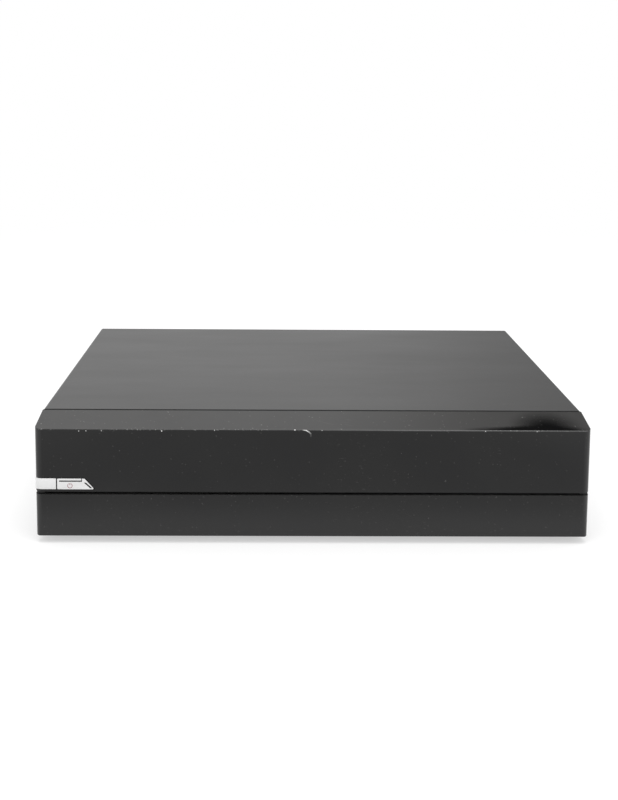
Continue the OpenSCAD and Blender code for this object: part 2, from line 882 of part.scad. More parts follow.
module key(i) {
    flange_y = y_wall1 + key_rest;
    color("#3a3a3d") translate([key_x0 + i * key_pitch, 0, row_z]) {
        along_y(y_wall0 - key_proud + 0.5, flange_y) oblong(key_w, key_h);
        along_y(y_wall0 - key_proud, y_wall0 - key_proud + 0.5) oblong(key_w - 0.8, key_h - 0.8);
        along_y(flange_y, flange_y + key_flange_t) oblong(key_w + 2 * key_flange_w, key_h + 2 * key_flange_w);
    }
}

module key_menu() key(0);
module key_ok() key(1);
module key_volume_down() key(2);
module key_volume_up() key(3);
module key_channel_down() key(4);
module key_channel_up() key(5);

module key_board() {
    color("#1f5a34") difference() {
        block([key_board_x[0], key_board_y, key_board_z[0]],
            [key_board_x[1], key_board_y + board_t, key_board_z[1]]);
        for (p = key_bosses)
            rod_y(p.x, p.y, key_board_y - cut, key_board_y + board_t + cut, boss_bore_r);
    }
}

module key_switches() {
    y = key_board_y - key_switch_h;
    color("#2b2b2e") for (i = [0 : len(key_names) - 1])
        translate([key_x0 + i * key_pitch, 0, row_z]) {
            along_y(y, key_board_y) rounded_box(switch_w, switch_w, 0.6);
            rod_y(0, 0, y - key_plunger_h, y + nick, key_plunger_r);
        }
}

// Folded steel case

module sheet_channel(hw, z0, z1, up) {
    inner_r = bend_r - sheet_t;
    s = up ? 1 : -1;
    za = up ? z0 : z1;
    zb = up ? z1 : z0;
    function u(h, r, open) = rounded(s > 0
        ? [[-h, za], [h, za], [h, zb + open], [-h, zb + open]]
        : [[-h, zb - open], [h, zb - open], [h, za], [-h, za]], s > 0 ? [r, r, 0, 0] : [0, 0, r, r]);
    difference() {
        polygon(u(hw, bend_r, 0));
        translate([0, s * sheet_t]) polygon(u(hw - sheet_t, inner_r, cut));
    }
}

module chassis_pan() {
    stub_r = 3.5;
    flange_hw = pan_hw - bend_r;
    color("#9a9da0") difference() {
        union() {
            along_y(y_cover, y_panel0) sheet_channel(pan_hw, z_case, z_case + pan_flange_h, true);
            block([-flange_hw, y_cover, z_case], [flange_hw, y_cover + sheet_t, z_case + pan_front_h]);
            for (p = posts)
                translate([p.x, p.y, z_floor - nick])
                    cylinder(h = post_h + nick, r1 = post_top_r + 1.2, r2 = post_top_r);
        }
        for (p = posts)
            translate([p.x, p.y, z_case - cut]) cylinder(h = post_h + 3 * cut, r = screw_r + screw_slack);
        for (p = feet_at)
            translate([p.x, p.y, z_case - cut]) cylinder(h = 2 * cut + sheet_t, r = stub_r);
        for (x = clips_at) {
            block([x - clip_w / 2 - 0.4, y_cover - cut, z_floor],
                [x + clip_w / 2 + 0.4, y_cover + cut, z_case + pan_front_h + cut]);
            block([x - clip_w / 2 - 0.4, y_seam + clip_d - 2.4, z_case - cut],
                [x + clip_w / 2 + 0.4, y_seam + clip_d + 0.4, z_floor + cut]);
        }
        translate([0, 0, z_case - cut]) linear_extrude(sheet_t + 2 * cut)
            for (i = [0 : 9], x = [phono_x + 8, supply_x])
                translate([x, y_front + 95 + i * 9]) oblong(36, 3);
    }
}

module top_cover() {
    z_hem = z_floor + 0.5;
    vents_y = (y_cover + y_back) / 2 - (vent_count - 1) * vent_pitch / 2;
    color("#1c1c1f") difference() {
        union() {
            along_y(y_cover, y_back) sheet_channel(cover_hw, z_hem, z_top, false);
            block([-cover_hw + bend_r, y_panel1, z_top - lip_h],
                [cover_hw - bend_r, y_back, z_top - sheet_t / 2]);
        }
        along_x(-half_w, half_w) for (i = [0 : vent_count - 1])
            translate([vents_y + i * vent_pitch, z_case + body_h / 2]) rotate(90) oblong(vent_h, vent_w);
        for (x = lip_screws_at)
            rod_y(x, lip_screw_z, y_panel1 - cut, y_back + cut, screw_r + screw_slack);
    }
}

module cover_screws() {
    color("#2a2a2d") for (x = lip_screws_at)
        translate([x, y_back, lip_screw_z]) rotate([-90, 0, 0]) screw(cover_screw_l);
}

module av_outline(grow, r) {
    w = av_w / 2 + grow;
    h = av_h / 2 + grow;
    polygon(rounded([[-w + 4, -h], [w - 1.5, -h], [w, -h + 4], [w, h], [-w, h], [-w, -h + 6]],
        [r, r, r, r, r, r]));
}

module rear_openings() {
    translate([video_x, z_parts + video_h / 2])
        rounded_box(video_w + 2 * socket_gap, video_h + 2 * socket_gap, 0.6);
    translate([rear_data_x, z_parts + data_h / 2])
        rounded_box(data_w + 2 * socket_gap, data_h + 2 * socket_gap, 0.6);
    translate([network_x, z_parts + network_h / 2])
        rounded_box(network_w + 2 * socket_gap, network_h + 2 * socket_gap, 0.6);
    for (i = [-1, 1], k = [0, 1])
        translate([phono_x + i * phono_pitch / 2, phono_z + k * phono_pitch])
            circle(phono_base_r + socket_gap);
    for (x = aerial_x)
        translate([x, aerial_z]) circle(aerial_flange_r + socket_gap);
    for (z = av_z)
        translate([av_x, z]) av_outline(socket_gap, av_corner_r);
    translate([inlet_x, mains_z])
        rounded_box(inlet_body_w + 2 * socket_gap, inlet_body_h + 2 * socket_gap, 1);
    translate([switch_x, mains_z])
        rounded_box(rocker_w + 2 * (rocker_gap + housing_t + socket_gap),
            rocker_h + 2 * (rocker_gap + housing_t + socket_gap), 1);
}

module rear_panel() {
    hw = cover_hw - sheet_t - slip;
    z_hi = z_top - sheet_t - slip;
    color("#202023") difference() {
        union() {
            block([-hw, y_panel0, z_case], [hw, y_panel1, z_hi]);
            block([5 - pan_hw, y_panel0 - 8, z_floor], [pan_hw - 5, y_panel0 + nick, z_floor + sheet_t]);
        }
        along_y(y_panel0 - cut, y_panel1 + cut) {
            rear_openings();
            for (i = [0 : 9], x = [main_x0 - 10, (aerial_x[0] + aerial_x[1]) / 2])
                translate([x + (i - 4.5) * 4.5, z_top - lip_h - 12]) rotate(90) oblong(12, 2.4);
        }
        for (x = lip_screws_at)
            rod_y(x, lip_screw_z, y_panel0 - cut, y_panel1 + cut, screw_r + screw_slack);
    }
}

module feet() {
    barb_r = 4.3;
    stub_r = 3.4;
    barb_h = 1.5;
    soft_r = 1.2;
    profile = rounded([[0, 0], [foot_r - 1, 0], [foot_r, z_case], [stub_r, z_case], [stub_r, z_floor],
        [barb_r, z_floor], [stub_r, z_floor + barb_h], [0, z_floor + barb_h]], [0, soft_r, 0, 0, 0, 0, 0, 0]);
    color("#232325") for (p = feet_at)
        translate([p.x, p.y, 0]) rotate_extrude() polygon(profile);
}

// Main board and what stands on it

module board_plate(x0, x1, y0, y1, holes) {
    difference() {
        translate([(x0 + x1) / 2, (y0 + y1) / 2, z_board]) linear_extrude(board_t)
            rounded_box(x1 - x0, y1 - y0, 2);
        for (p = holes)
            translate([p.x, p.y, z_board - cut]) cylinder(h = board_t + 2 * cut, r = screw_r + 0.2);
    }
}

module main_board() {
    color("#1f5a34") board_plate(main_x0, main_x1, main_y0, main_y1, main_posts);
}

module supply_board() {
    color("#7a5a2c") board_plate(supply_x0, supply_x1, supply_y0, main_y1, supply_posts);
}

module board_screws() {
    color("#b9bcc0") {
        for (p = posts)
            translate([p.x, p.y, z_parts]) screw(board_t + board_screw_l);
        raked() for (p = front_bosses)
            translate([p.x, front_board_n1, p.y]) rotate([-90, 0, 0]) screw(board_t + board_screw_l);
        for (p = key_bosses)
            translate([p.x, key_board_y + board_t, p.y]) rotate([-90, 0, 0]) screw(board_t + board_screw_l);
    }
}

module processor() {
    color("#2a2c2e") translate([chip_at.x, chip_at.y, z_parts]) {
        linear_extrude(chip_h / 2) rounded_box(chip_w, chip_w, 0.8);
        linear_extrude(chip_h) rounded_box(chip_w - chip_step, chip_w - chip_step, 0.8);
    }
}

// Comb of fins on a base, seen along the fins
function comb(w, base, height, fin, count) =
    let (step = (w - fin) / (count - 1), x = function (i) -w / 2 + i * step)
    concat([[-w / 2, 0], [w / 2, 0]],
        [for (i = [count - 1 : -1 : 0])
            each i > 0
                ? [[x(i) + fin, height], [x(i), height], [x(i), base], [x(i - 1) + fin, base]]
                : [[x(0) + fin, height], [x(0), height]]]);

module heat_sink() {
    z0 = z_parts + chip_h;
    color("#9fa3a8") difference() {
        translate([chip_at.x, 0, z0]) along_y(chip_at.y - sink_w / 2, chip_at.y + sink_w / 2)
            polygon(comb(sink_w, sink_base, sink_h, fin_t, 9));
        for (i = [-1, 0, 1])
            translate([chip_at.x, chip_at.y + i * sink_w / 4, z0 + sink_base + sink_h / 2 + fin_t])
                cube([sink_w + cut, groove_w, sink_h], center = true);
    }
}

module memory_chips() {
    color("#242527") for (p = memory_at)
        translate([chip_at.x + p.x, chip_at.y + p.y, z_parts]) linear_extrude(memory_h)
            rounded_box(memory_w, memory_d, 0.4);
}

module tuner_module() {
    lid = 0.8;
    skirt = 5;
    x = (aerial_x[0] + aerial_x[1]) / 2;
    y = y_panel0 - tuner_d / 2;
    color("#b9bcc0") difference() {
        union() {
            translate([x, y, z_parts]) linear_extrude(tuner_h - lid)
                rounded_box(tuner_w - 1, tuner_d - 1, 0.8);
            translate([x, y - 0.5, z_parts + tuner_h - skirt]) linear_extrude(skirt)
                rounded_box(tuner_w, tuner_d - 1, 1);
            for (ax = aerial_x)
                rod_y(ax, aerial_z, y_panel0 - 2, y_panel0, aerial_flange_r);
        }
        translate([x, y - 1, z_parts - cut]) linear_extrude(tuner_h - lid + cut)
            rounded_box(tuner_w - 3, tuner_d - 6, 0.8);
        for (i = [-1, 0, 1])
            translate([x + i * 14, y, z_parts + tuner_h - cut]) linear_extrude(2 * cut) oblong(10, 4);
    }
}

module aerial_shells() {
    x_in = aerial_x[0];
    x_out = aerial_x[1];
    tip = y_back + jack_reach;
    step_y = y_panel1 + 2;
    color("#c9ccd0") {
        difference() {
            union() {
                rod_y(x_in, aerial_z, y_panel0, step_y, aerial_flange_r);
                rod_y(x_in, aerial_z, y_panel0, tip, aerial_r);
            }
            rod_y(x_in, aerial_z, y_panel0 - cut, tip + cut, aerial_core_r);
        }
        difference() {
            union() {
                rod_y(x_out, aerial_z, y_panel0, step_y, aerial_flange_r);
                rod_y(x_out, aerial_z, y_panel0, tip, aerial_out_r);
            }
            rod_y(x_out, aerial_z, step_y, tip + cut, aerial_r + run_gap);
            rod_y(x_out, aerial_z, y_panel0 - cut, tip + cut, aerial_core_r);
        }
        rod_y(x_out, aerial_z, y_panel0, tip - 1, aerial_bore_r);
    }
}

module aerial_insulators() {
    tip = y_back + jack_reach;
    color("#e8e6df") {
        difference() {
            rod_y(aerial_x[0], aerial_z, y_panel0, tip - 0.6, aerial_core_r);
            rod_y(aerial_x[0], aerial_z, y_panel1 + 1, tip + cut, aerial_bore_r);
        }
        difference() {
            rod_y(aerial_x[1], aerial_z, y_panel0, y_panel1 + 2, aerial_core_r);
            rod_y(aerial_x[1], aerial_z, y_panel0 - cut, y_back + cut, aerial_bore_r);
        }
    }
}

module module_cage() {
    w = module_w + 2 * cage_t;
    z1 = cage_z + module_h / 2 + cage_t;
    header_d = 8;
    color("#aeb2b6") difference() {
        block([module_x - w / 2, cage_y0, z_parts], [module_x + w / 2, cage_y0 + cage_d, z1]);
        block([module_x - module_w / 2, cage_y0 - cut, cage_z - module_h / 2],
            [module_x + module_w / 2, cage_y0 + cage_d - header_d, cage_z + module_h / 2]);
        block([module_x - 18, cage_y0 + 22, cage_z], [module_x + 18, cage_y0 + 52, z1 + cut]);
        block([module_x - module_w / 2, cage_y0 + main_y0 - y_wall1 + cut, z_parts - cut],
            [module_x + module_w / 2, cage_y0 + cage_d - header_d, cage_z - module_h / 2 - cage_lift / 2]);
    }
}

module card_reader() {
    w = card_w + 3;
    color("#232426") difference() {
        block([card_x - w / 2, cage_y0, z_parts],
            [card_x + w / 2, cage_y0 + card_reader_d, z_parts + card_reader_h]);
        block([card_x - card_w / 2, cage_y0 - cut, card_z - card_h / 2],
            [card_x + card_w / 2, cage_y0 + card_reader_d - 4, card_z + card_h / 2]);
        translate([card_x, cage_y0 + card_reader_d / 2 + 4, card_z]) linear_extrude(card_reader_h)
            rounded_box(30, 24, 2);
    }
}

// Open-mouthed metal shell along y, its mouth at y0 and its back at y1
module socket_shell(x, w, h, y_mouth, y_end) {
    lo = min(y_mouth, y_end);
    hi = max(y_mouth, y_end);
    back = y_mouth < y_end ? [y_mouth - cut, y_end - data_t] : [y_end + data_t, y_mouth + cut];
    difference() {
        translate([x, 0, z_parts + h / 2]) along_y(lo, hi) rounded_box(w, h, 0.5);
        translate([x, 0, z_parts + h / 2]) along_y(back[0], back[1])
            rounded_box(w - 2 * data_t, h - 2 * data_t, 0.2);
    }
}

module front_data_socket() {
    color("#c9ccd0") socket_shell(data_x, data_w, data_h, y_wall0 + 0.4, y_wall0 + data_d);
}

module rear_data_socket() {
    color("#c9ccd0") socket_shell(rear_data_x, data_w, data_h, y_panel1 + socket_proud, y_panel1 - data_d);
}

module video_socket() {
    y1 = y_panel1 + socket_proud;
    y0 = y_panel1 - 12;
    function d_shape(w, h) = rounded([[-w / 2 + 2.2, -h / 2], [w / 2 - 2.2, -h / 2], [w / 2, -h / 2 + 1.8],
        [w / 2, h / 2], [-w / 2, h / 2], [-w / 2, -h / 2 + 1.8]], [0.4, 0.4, 0.4, 0.4, 0.4, 0.4]);
    color("#c9ccd0") translate([video_x, 0, z_parts + video_h / 2]) difference() {
        along_y(y0, y1) polygon(d_shape(video_w, video_h));
        along_y(y0 + data_t, y1 + cut) polygon(d_shape(video_w - 2 * data_t, video_h - 2 * data_t));
    }
}

module socket_tongues() {
    z = z_parts + data_h / 2;
    w = data_w - 3;
    color("#1a1a1c") {
        translate([data_x, 0, z]) along_y(y_wall0 + 0.4 + tongue_in, y_wall0 + data_d - data_t)
            translate([0, 1]) rounded_box(w, tongue_t, 0.2);
        translate([rear_data_x, 0, z]) along_y(y_panel1 - data_d + data_t, y_panel1 + socket_proud - tongue_in)
            translate([0, 1]) rounded_box(w, tongue_t, 0.2);
        translate([video_x, 0, z]) along_y(y_panel1 - 12 + data_t, y_panel1 + socket_proud - tongue_in)
            translate([0, 0.3]) rounded_box(video_w - 4.5, 1.4, 0.2);
    }
}

module network_jack() {
    y1 = y_panel1 + socket_proud;
    zc = z_parts + network_h / 2;
    color("#b9bcc0") difference() {
        translate([network_x, 0, zc]) along_y(y1 - network_d, y1) rounded_box(network_w, network_h, 0.4);
        block([network_x - plug_w / 2, y1 - plug_d, zc - 3],
            [network_x + plug_w / 2, y1 + cut, zc - 3 + plug_h]);
        block([network_x - 3, y1 - plug_d, zc - 5.4], [network_x + 3, y1 + cut, zc - 3 + nick]);
    }
}

module phono_block() {
    h = phono_z + phono_pitch + 7 - z_parts;
    color("#1f1f22") translate([phono_x, 0, z_parts + h / 2]) difference() {
        along_y(y_panel0 - phono_block_d, y_panel0) rounded_box(2 * phono_pitch, h, 1);
        along_y(y_panel0 - phono_block_d - cut, y_panel0 - 3) rounded_box(3, h - 8, 1);
    }
}

module at_phonos() {
    for (i = [-1, 1], k = [0, 1])
        translate([phono_x + i * phono_pitch / 2, 0, phono_z + k * phono_pitch]) children();
}

module phono_sleeves() {
    color("#c9ccd0") at_phonos() difference() {
        rod_y(0, 0, y_panel1 + phono_base_d, y_back + phono_reach, phono_r);
        rod_y(0, 0, y_panel1, y_back + phono_reach + cut, phono_core_r);
    }
}

module phono_inserts() {
    tip = y_back + phono_reach - phono_core_in;
    color("#d8b13a") at_phonos() difference() {
        union() {
            rod_y(0, 0, y_panel0, y_panel1 + phono_base_d, phono_base_r);
            rod_y(0, 0, y_panel0, tip, phono_core_r);
        }
        rod_y(0, 0, tip - phono_bore_d, tip + cut, phono_bore_r);
    }
}

module av_sockets() {
    block_w = av_w + 4;
    top = av_z[1] + av_h / 2 + 2;
    slot_w = 1.1;
    slot_pitch = 3.2;
    color("#1d1d20") difference() {
        union() {
            block([av_x - block_w / 2, y_panel0 - av_block_d, z_parts], [av_x + block_w / 2, y_panel0, top]);
            for (z = av_z)
                translate([av_x, 0, z]) along_y(y_panel0 - nick, y_panel1 + av_proud)
                    av_outline(0, av_corner_r);
        }
        for (z = av_z)
            translate([av_x, 0, z]) {
                along_y(y_panel0 - 9, y_panel1 + av_proud + cut) difference() {
                    av_outline(-av_wall, 0);
                    av_outline(-av_wall - av_groove, 0);
                }
                along_y(y_panel0 - 6, y_panel1 + av_proud + cut) for (i = [0 : 9], row = [-1, 1])
                    translate([(i - 4.5 + row * 0.25) * slot_pitch, row * 1.7])
                        square([slot_w, 2.2], center = true);
            }
    }
}

// Supply side

module transformer() {
    core_t = (transformer_h - winding_h) / 2;
    leg = 3;
    color("#3b3026") translate([transformer_at.x, transformer_at.y, z_parts]) {
        difference() {
            linear_extrude(transformer_h) rounded_box(transformer_w, transformer_d, 1);
            for (s = [-1, 1])
                translate([s * transformer_w / 2, 0, core_t]) linear_extrude(winding_h)
                    square([transformer_w / 3, transformer_d + 2 * cut], center = true);
        }
        translate([0, 0, core_t + 1]) linear_extrude(winding_h - 2)
            rounded_box(transformer_w - leg, transformer_d - leg, 4);
    }
}

module bulk_capacitor() {
    ring = 0.8;
    color("#26384f") translate([can_at.x, can_at.y, z_parts]) rotate_extrude()
        polygon(rounded([[0, 0], [can_r, 0], [can_r, 3], [can_r - ring, 4], [can_r, 5], [can_r, can_h],
            [can_r - 1.5, can_h], [can_r - 2, can_h - ring], [0, can_h - ring]],
            [0, 0.6, 0, 0, 0, 1, 0, 0, 0]));
}

module supply_heat_sink() {
    color("#9fa3a8") translate([comb_at.x, comb_at.y, z_parts]) linear_extrude(comb_h)
        rotate(90) translate([0, -comb_d / 2]) polygon(comb(comb_l, fin_t, comb_d, fin_t, 8));
}

module line_filter() {
    waist = 2;
    slot = filter_h / 5;
    color("#c9a23a") translate([filter_at.x, filter_at.y, z_parts]) difference() {
        linear_extrude(filter_h) rounded_box(filter_w, filter_d, 2);
        for (z = [filter_h / 4, filter_h * 0.6])
            translate([0, 0, z]) linear_extrude(slot) difference() {
                square(2 * filter_w, center = true);
                rounded_box(filter_w - 2 * waist, filter_d - 2 * waist, 2);
            }
    }
}

module fuse() {
    clip_l = 4;
    color("#d4d8da") translate([fuse_at.x, fuse_at.y, z_parts]) {
        rod_y(0, 2 * fuse_r, -fuse_l / 2, fuse_l / 2, fuse_r);
        for (y = [-fuse_l / 2, fuse_l / 2 - clip_l])
            block([1 - fuse_r, y, 0], [fuse_r - 1, y + clip_l, 2 * fuse_r]);
    }
}

module mains_inlet() {
    y_face = y_panel1 + inlet_flange_d;
    color("#18181a") translate([inlet_x, 0, mains_z]) difference() {
        union() {
            along_y(y_panel1, y_face) rounded_box(inlet_flange_w, inlet_flange_h, 2.5);
            along_y(y_panel1 - inlet_body_d, y_panel1 + nick) rounded_box(inlet_body_w, inlet_body_h, 1);
        }
        along_y(y_face - inlet_depth, y_face + cut) oblong(inlet_w, inlet_h);
        for (s = [-1, 1])
            rod_y(s * inlet_pin_pitch / 2, 0, y_panel1 - inlet_body_d - cut, y_face, inlet_pin_r);
    }
}

module inlet_pins() {
    y_face = y_panel1 + inlet_flange_d;
    color("#c8a860") translate([inlet_x, 0, mains_z]) for (s = [-1, 1])
        rod_y(s * inlet_pin_pitch / 2, 0, y_panel1 - inlet_body_d - 3, y_face - 3, inlet_pin_r);
}

module switch_housing() {
    w = rocker_w + 2 * rocker_gap;
    h = rocker_h + 2 * rocker_gap;
    color("#18181a") translate([switch_x, 0, mains_z]) difference() {
        union() {
            along_y(y_panel1, y_panel1 + housing_flange_d)
                rounded_box(w + 2 * (housing_t + housing_flange), h + 2 * (housing_t + housing_flange), 1.2);
            along_y(y_panel1 - housing_d, y_panel1 + nick)
                rounded_box(w + 2 * housing_t, h + 2 * housing_t, 0.8);
        }
        along_y(y_panel1 - housing_d + housing_t, y_panel1 + housing_flange_d + cut)
            square([w, h], center = true);
        translate([-w / 2 - 1, rocker_y, 0]) rotate([0, 90, 0]) cylinder(h = w + 2, r = 1 + run_gap);
    }
}

module switch_rocker() {
    reach = rocker_h / 2;
    w = rocker_w / 2;
    color("#141416") translate([switch_x, rocker_y, mains_z]) rotate([rocker_tilt, 0, 0]) {
        along_x(-w, w) intersection() {
            polygon([[-5, 4], [-5, -4], [-1, -reach], [6.2, -reach], [4.6, 0], [6.2, reach], [-1, reach]]);
            circle(reach);
        }
        translate([-w - rocker_gap - 0.9, 0, 0]) rotate([0, 90, 0])
            cylinder(h = rocker_w + 2 * rocker_gap + 1.8, r = 1);
    }
}

// Cables inside the case

module ribbon_cable() {
    n = front_board_n1 + cable_socket_d;
    y0 = y_front + n * cos(rake) + ribbon_v * sin(rake) + ribbon_t / 2 * tan(rake);
    z1 = z_case + ribbon_v * cos(rake) - n * sin(rake) + ribbon_t / 2;
    z0 = z_parts + cable_socket_h;
    y1 = ribbon_y + ribbon_t / 2;
    t = ribbon_t;
    color("#d8d8d4") along_x(ribbon_x[0] + 1, ribbon_x[1] - 1)
        polygon(rounded([[y1, z0], [y1, z1], [y0, z1], [y0, z1 - t], [y1 - t, z1 - t], [y1 - t, z0]],
            [0, 5, 0, 0, 5 - t, 0]));
}

module supply_harness() {
    x0 = supply_x1 - 6 - harness_t / 2;
    x1 = main_x0 + 6 + harness_t / 2;
    z0 = z_parts + cable_socket_h;
    z1 = z0 + harness_rise;
    t = harness_t;
    color("#c23a32") along_y(harness_y - harness_w / 2, harness_y + harness_w / 2)
        polygon(rounded([[x0, z0], [x0 + t, z0], [x0 + t, z1 - t], [x1 - t, z1 - t], [x1 - t, z0], [x1, z0],
            [x1, z1], [x0, z1]], [0, 0, 4 - t, 4 - t, 0, 0, 4, 4]));
}

module cable_sockets() {
    w = ribbon_x[1] - ribbon_x[0];
    color("#e4e4e0") {
        raked() along_y(front_board_n1, front_board_n1 + cable_socket_d)
            translate([ribbon_x[0] + w / 2, ribbon_v]) rounded_box(w, 3.4, 0.4);
        translate([ribbon_x[0] + w / 2, ribbon_y, z_parts]) linear_extrude(cable_socket_h)
            rounded_box(w, 3.4, 0.4);
        for (x = [supply_x1 - 6, main_x0 + 6])
            translate([x, harness_y, z_parts]) linear_extrude(cable_socket_h)
                rounded_box(4.4, harness_w + 3, 0.4);
    }
}

fascia_panel();
bezel_frame();
front_flap();
flap_pins();
push_latch();
end_trim();
power_button();
switch_plunger();
power_switch();
front_board();
display_module();
ir_receiver();
standby_led();
key_menu();
key_ok();
key_volume_down();
key_volume_up();
key_channel_down();
key_channel_up();
key_board();
key_switches();
chassis_pan();
rear_panel();
top_cover();
cover_screws();
feet();
main_board();
board_screws();
processor();
heat_sink();
memory_chips();
tuner_module();
aerial_shells();
aerial_insulators();
module_cage();
card_reader();
front_data_socket();
rear_data_socket();
socket_tongues();
video_socket();
network_jack();
phono_block();
phono_sleeves();
phono_inserts();
av_sockets();
supply_board();
transformer();
bulk_capacitor();
supply_heat_sink();
line_filter();
fuse();
mains_inlet();
inlet_pins();
switch_housing();
switch_rocker();
ribbon_cable();
supply_harness();
cable_sockets();
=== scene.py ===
import math

import bpy
from mathutils import Matrix, Vector


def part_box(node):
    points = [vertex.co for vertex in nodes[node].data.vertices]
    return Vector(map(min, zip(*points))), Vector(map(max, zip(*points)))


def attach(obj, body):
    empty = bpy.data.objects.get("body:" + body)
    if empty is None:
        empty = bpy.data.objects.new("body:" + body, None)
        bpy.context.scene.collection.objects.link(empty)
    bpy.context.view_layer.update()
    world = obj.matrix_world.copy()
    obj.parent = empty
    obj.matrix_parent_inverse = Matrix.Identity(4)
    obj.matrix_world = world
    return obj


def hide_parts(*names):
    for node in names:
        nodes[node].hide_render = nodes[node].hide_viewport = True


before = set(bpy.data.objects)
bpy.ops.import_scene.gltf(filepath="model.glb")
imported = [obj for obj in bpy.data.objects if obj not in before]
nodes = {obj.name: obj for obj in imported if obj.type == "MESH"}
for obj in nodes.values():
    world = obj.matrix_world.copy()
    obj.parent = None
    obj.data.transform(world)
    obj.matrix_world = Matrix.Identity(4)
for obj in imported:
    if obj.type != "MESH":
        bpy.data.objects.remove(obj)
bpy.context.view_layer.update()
print("stage: frame loaded,", len(nodes), "solids")

# Camera at the photograph's viewing angle

cameraLook = {
    "place": (-0.0206, -0.7261, 0.2441),
    "pitch": 13.28, "yaw": 0.90, "roll": 0.48,  # degrees
    "lens": 52.47, "sensor": 36, "shiftX": 0.01875, "shiftY": -0.0491, "clipStart": 0.01,
}


def addCamera(look):
    pitch, yaw, roll = (math.radians(look[turn]) for turn in ("pitch", "yaw", "roll"))
    ahead = Vector((math.sin(yaw), math.cos(yaw), 0))
    forward = math.cos(pitch) * ahead - math.sin(pitch) * Vector((0, 0, 1))
    level = Vector((math.cos(yaw), -math.sin(yaw), 0))
    over = level.cross(forward)
    right = math.cos(roll) * level + math.sin(roll) * over
    up = -math.sin(roll) * level + math.cos(roll) * over
    bpy.ops.object.camera_add(location=look["place"])
    camera = bpy.context.object
    camera.name = "photoCamera"
    turned = Matrix((right, up, -forward)).transposed().to_4x4()
    camera.matrix_world = Matrix.Translation(look["place"]) @ turned
    camera.data.lens = look["lens"]
    camera.data.sensor_width = look["sensor"]
    camera.data.shift_x = look["shiftX"]
    camera.data.shift_y = look["shiftY"]
    camera.data.clip_start = look["clipStart"]
    bpy.context.scene.camera = camera


addCamera(cameraLook)
print("stage: camera")

# Node helpers

origin = (0.0, 0.0, 0.0)
white = (1, 1, 1, 1)


def addNode(tree, kind, inputs=None, **settings):
    made = tree.nodes.new(kind)
    for key, value in settings.items():
        setattr(made, key, value)
    for key, value in (inputs or {}).items():
        if isinstance(value, bpy.types.NodeSocket):
            tree.links.new(value, made.inputs[key])
        else:
            made.inputs[key].default_value = value
    return made


def maths(tree, operation, a, b=0.0, clamp=False):
    made = addNode(tree, "ShaderNodeMath", {0: a, 1: b}, operation=operation, use_clamp=clamp)
    return made.outputs[0]


def times(tree, a, b):
    return maths(tree, "MULTIPLY", a, b)


def vectorMaths(tree, operation, *values):
    sockets = (0, "Scale") if operation == "SCALE" else (0, 1)
    made = addNode(tree, "ShaderNodeVectorMath", dict(zip(sockets, values)), operation=operation)
    return made.outputs["Value" if operation in ("LENGTH", "DOT_PRODUCT") else "Vector"]


def axes(tree, vector):
    return addNode(tree, "ShaderNodeSeparateXYZ", {0: vector}).outputs


def ranged(tree, value, lo, hi, toLo=0.0, toHi=1.0, smooth=True):
    made = addNode(tree, "ShaderNodeMapRange", {"Value": value, "From Min": lo, "From Max": hi,
                                                "To Min": toLo, "To Max": toHi})
    made.interpolation_type = "SMOOTHSTEP" if smooth else "LINEAR"
    return made.outputs[0]


def spread(tree, share, atNone, atFull):
    return ranged(tree, share, 0.0, 1.0, atNone, atFull, False)


def noise(tree, place, scale, **settings):
    made = addNode(tree, "ShaderNodeTexNoise", {"Vector": place, "Scale": scale, **settings})
    return made.outputs["Fac"]


def mixed(tree, factor, a, b):
    made = addNode(tree, "ShaderNodeMix", {0: factor, 6: a, 7: b}, data_type="RGBA")
    return made.outputs[2]


def tinted(tree, colour, tone, mask, share):
    return mixed(tree, times(tree, mask, share), colour, tone)


def raised(tree, value, mask, level):
    return maths(tree, "MAXIMUM", value, times(tree, mask, level))


def startGroup(name, inputs, outputs):
    tree = bpy.data.node_groups.new(name, "ShaderNodeTree")
    for label, value in inputs.items():
        kind = "NodeSocketFloat" if isinstance(value, float) else "NodeSocketVector"
        socket = tree.interface.new_socket(name=label, in_out="INPUT", socket_type=kind)
        socket.default_value = value
    for label in outputs:
        tree.interface.new_socket(name=label, in_out="OUTPUT", socket_type="NodeSocketFloat")
    given = tree.nodes.new("NodeGroupInput").outputs
    wanted = tree.nodes.new("NodeGroupOutput").inputs
    return tree, given, wanted


def grouped(tree, group, place, **inputs):
    made = addNode(tree, "ShaderNodeGroup", {"Vector": place, **inputs}, node_tree=group)
    return made.outputs


# Shared effects: each is a node group, with its own values above it

mottleLook = {"fineTimes": 60.0, "broadSpan": (0.3, 0.7), "fineSpan": (0.25, 0.75)}


def makeMottle(look):
    tree, given, wanted = startGroup("surfaceMottle", {"Vector": origin, "Scale": 30.0},
                                     ["Broad", "Fine"])
    place, scale = given["Vector"], given["Scale"]
    fineScale = times(tree, scale, look["fineTimes"])
    broad = noise(tree, place, scale, Detail=4.0, Roughness=0.55)
    fine = noise(tree, place, fineScale, Detail=2.0, Roughness=0.6)
    tree.links.new(ranged(tree, broad, *look["broadSpan"]), wanted["Broad"])
    tree.links.new(ranged(tree, fine, *look["fineSpan"]), wanted["Fine"])
    return tree


speckLook = {"wobbleTimes": 7.0, "wobble": 0.3, "rarity": 0.72, "smallest": 0.4}


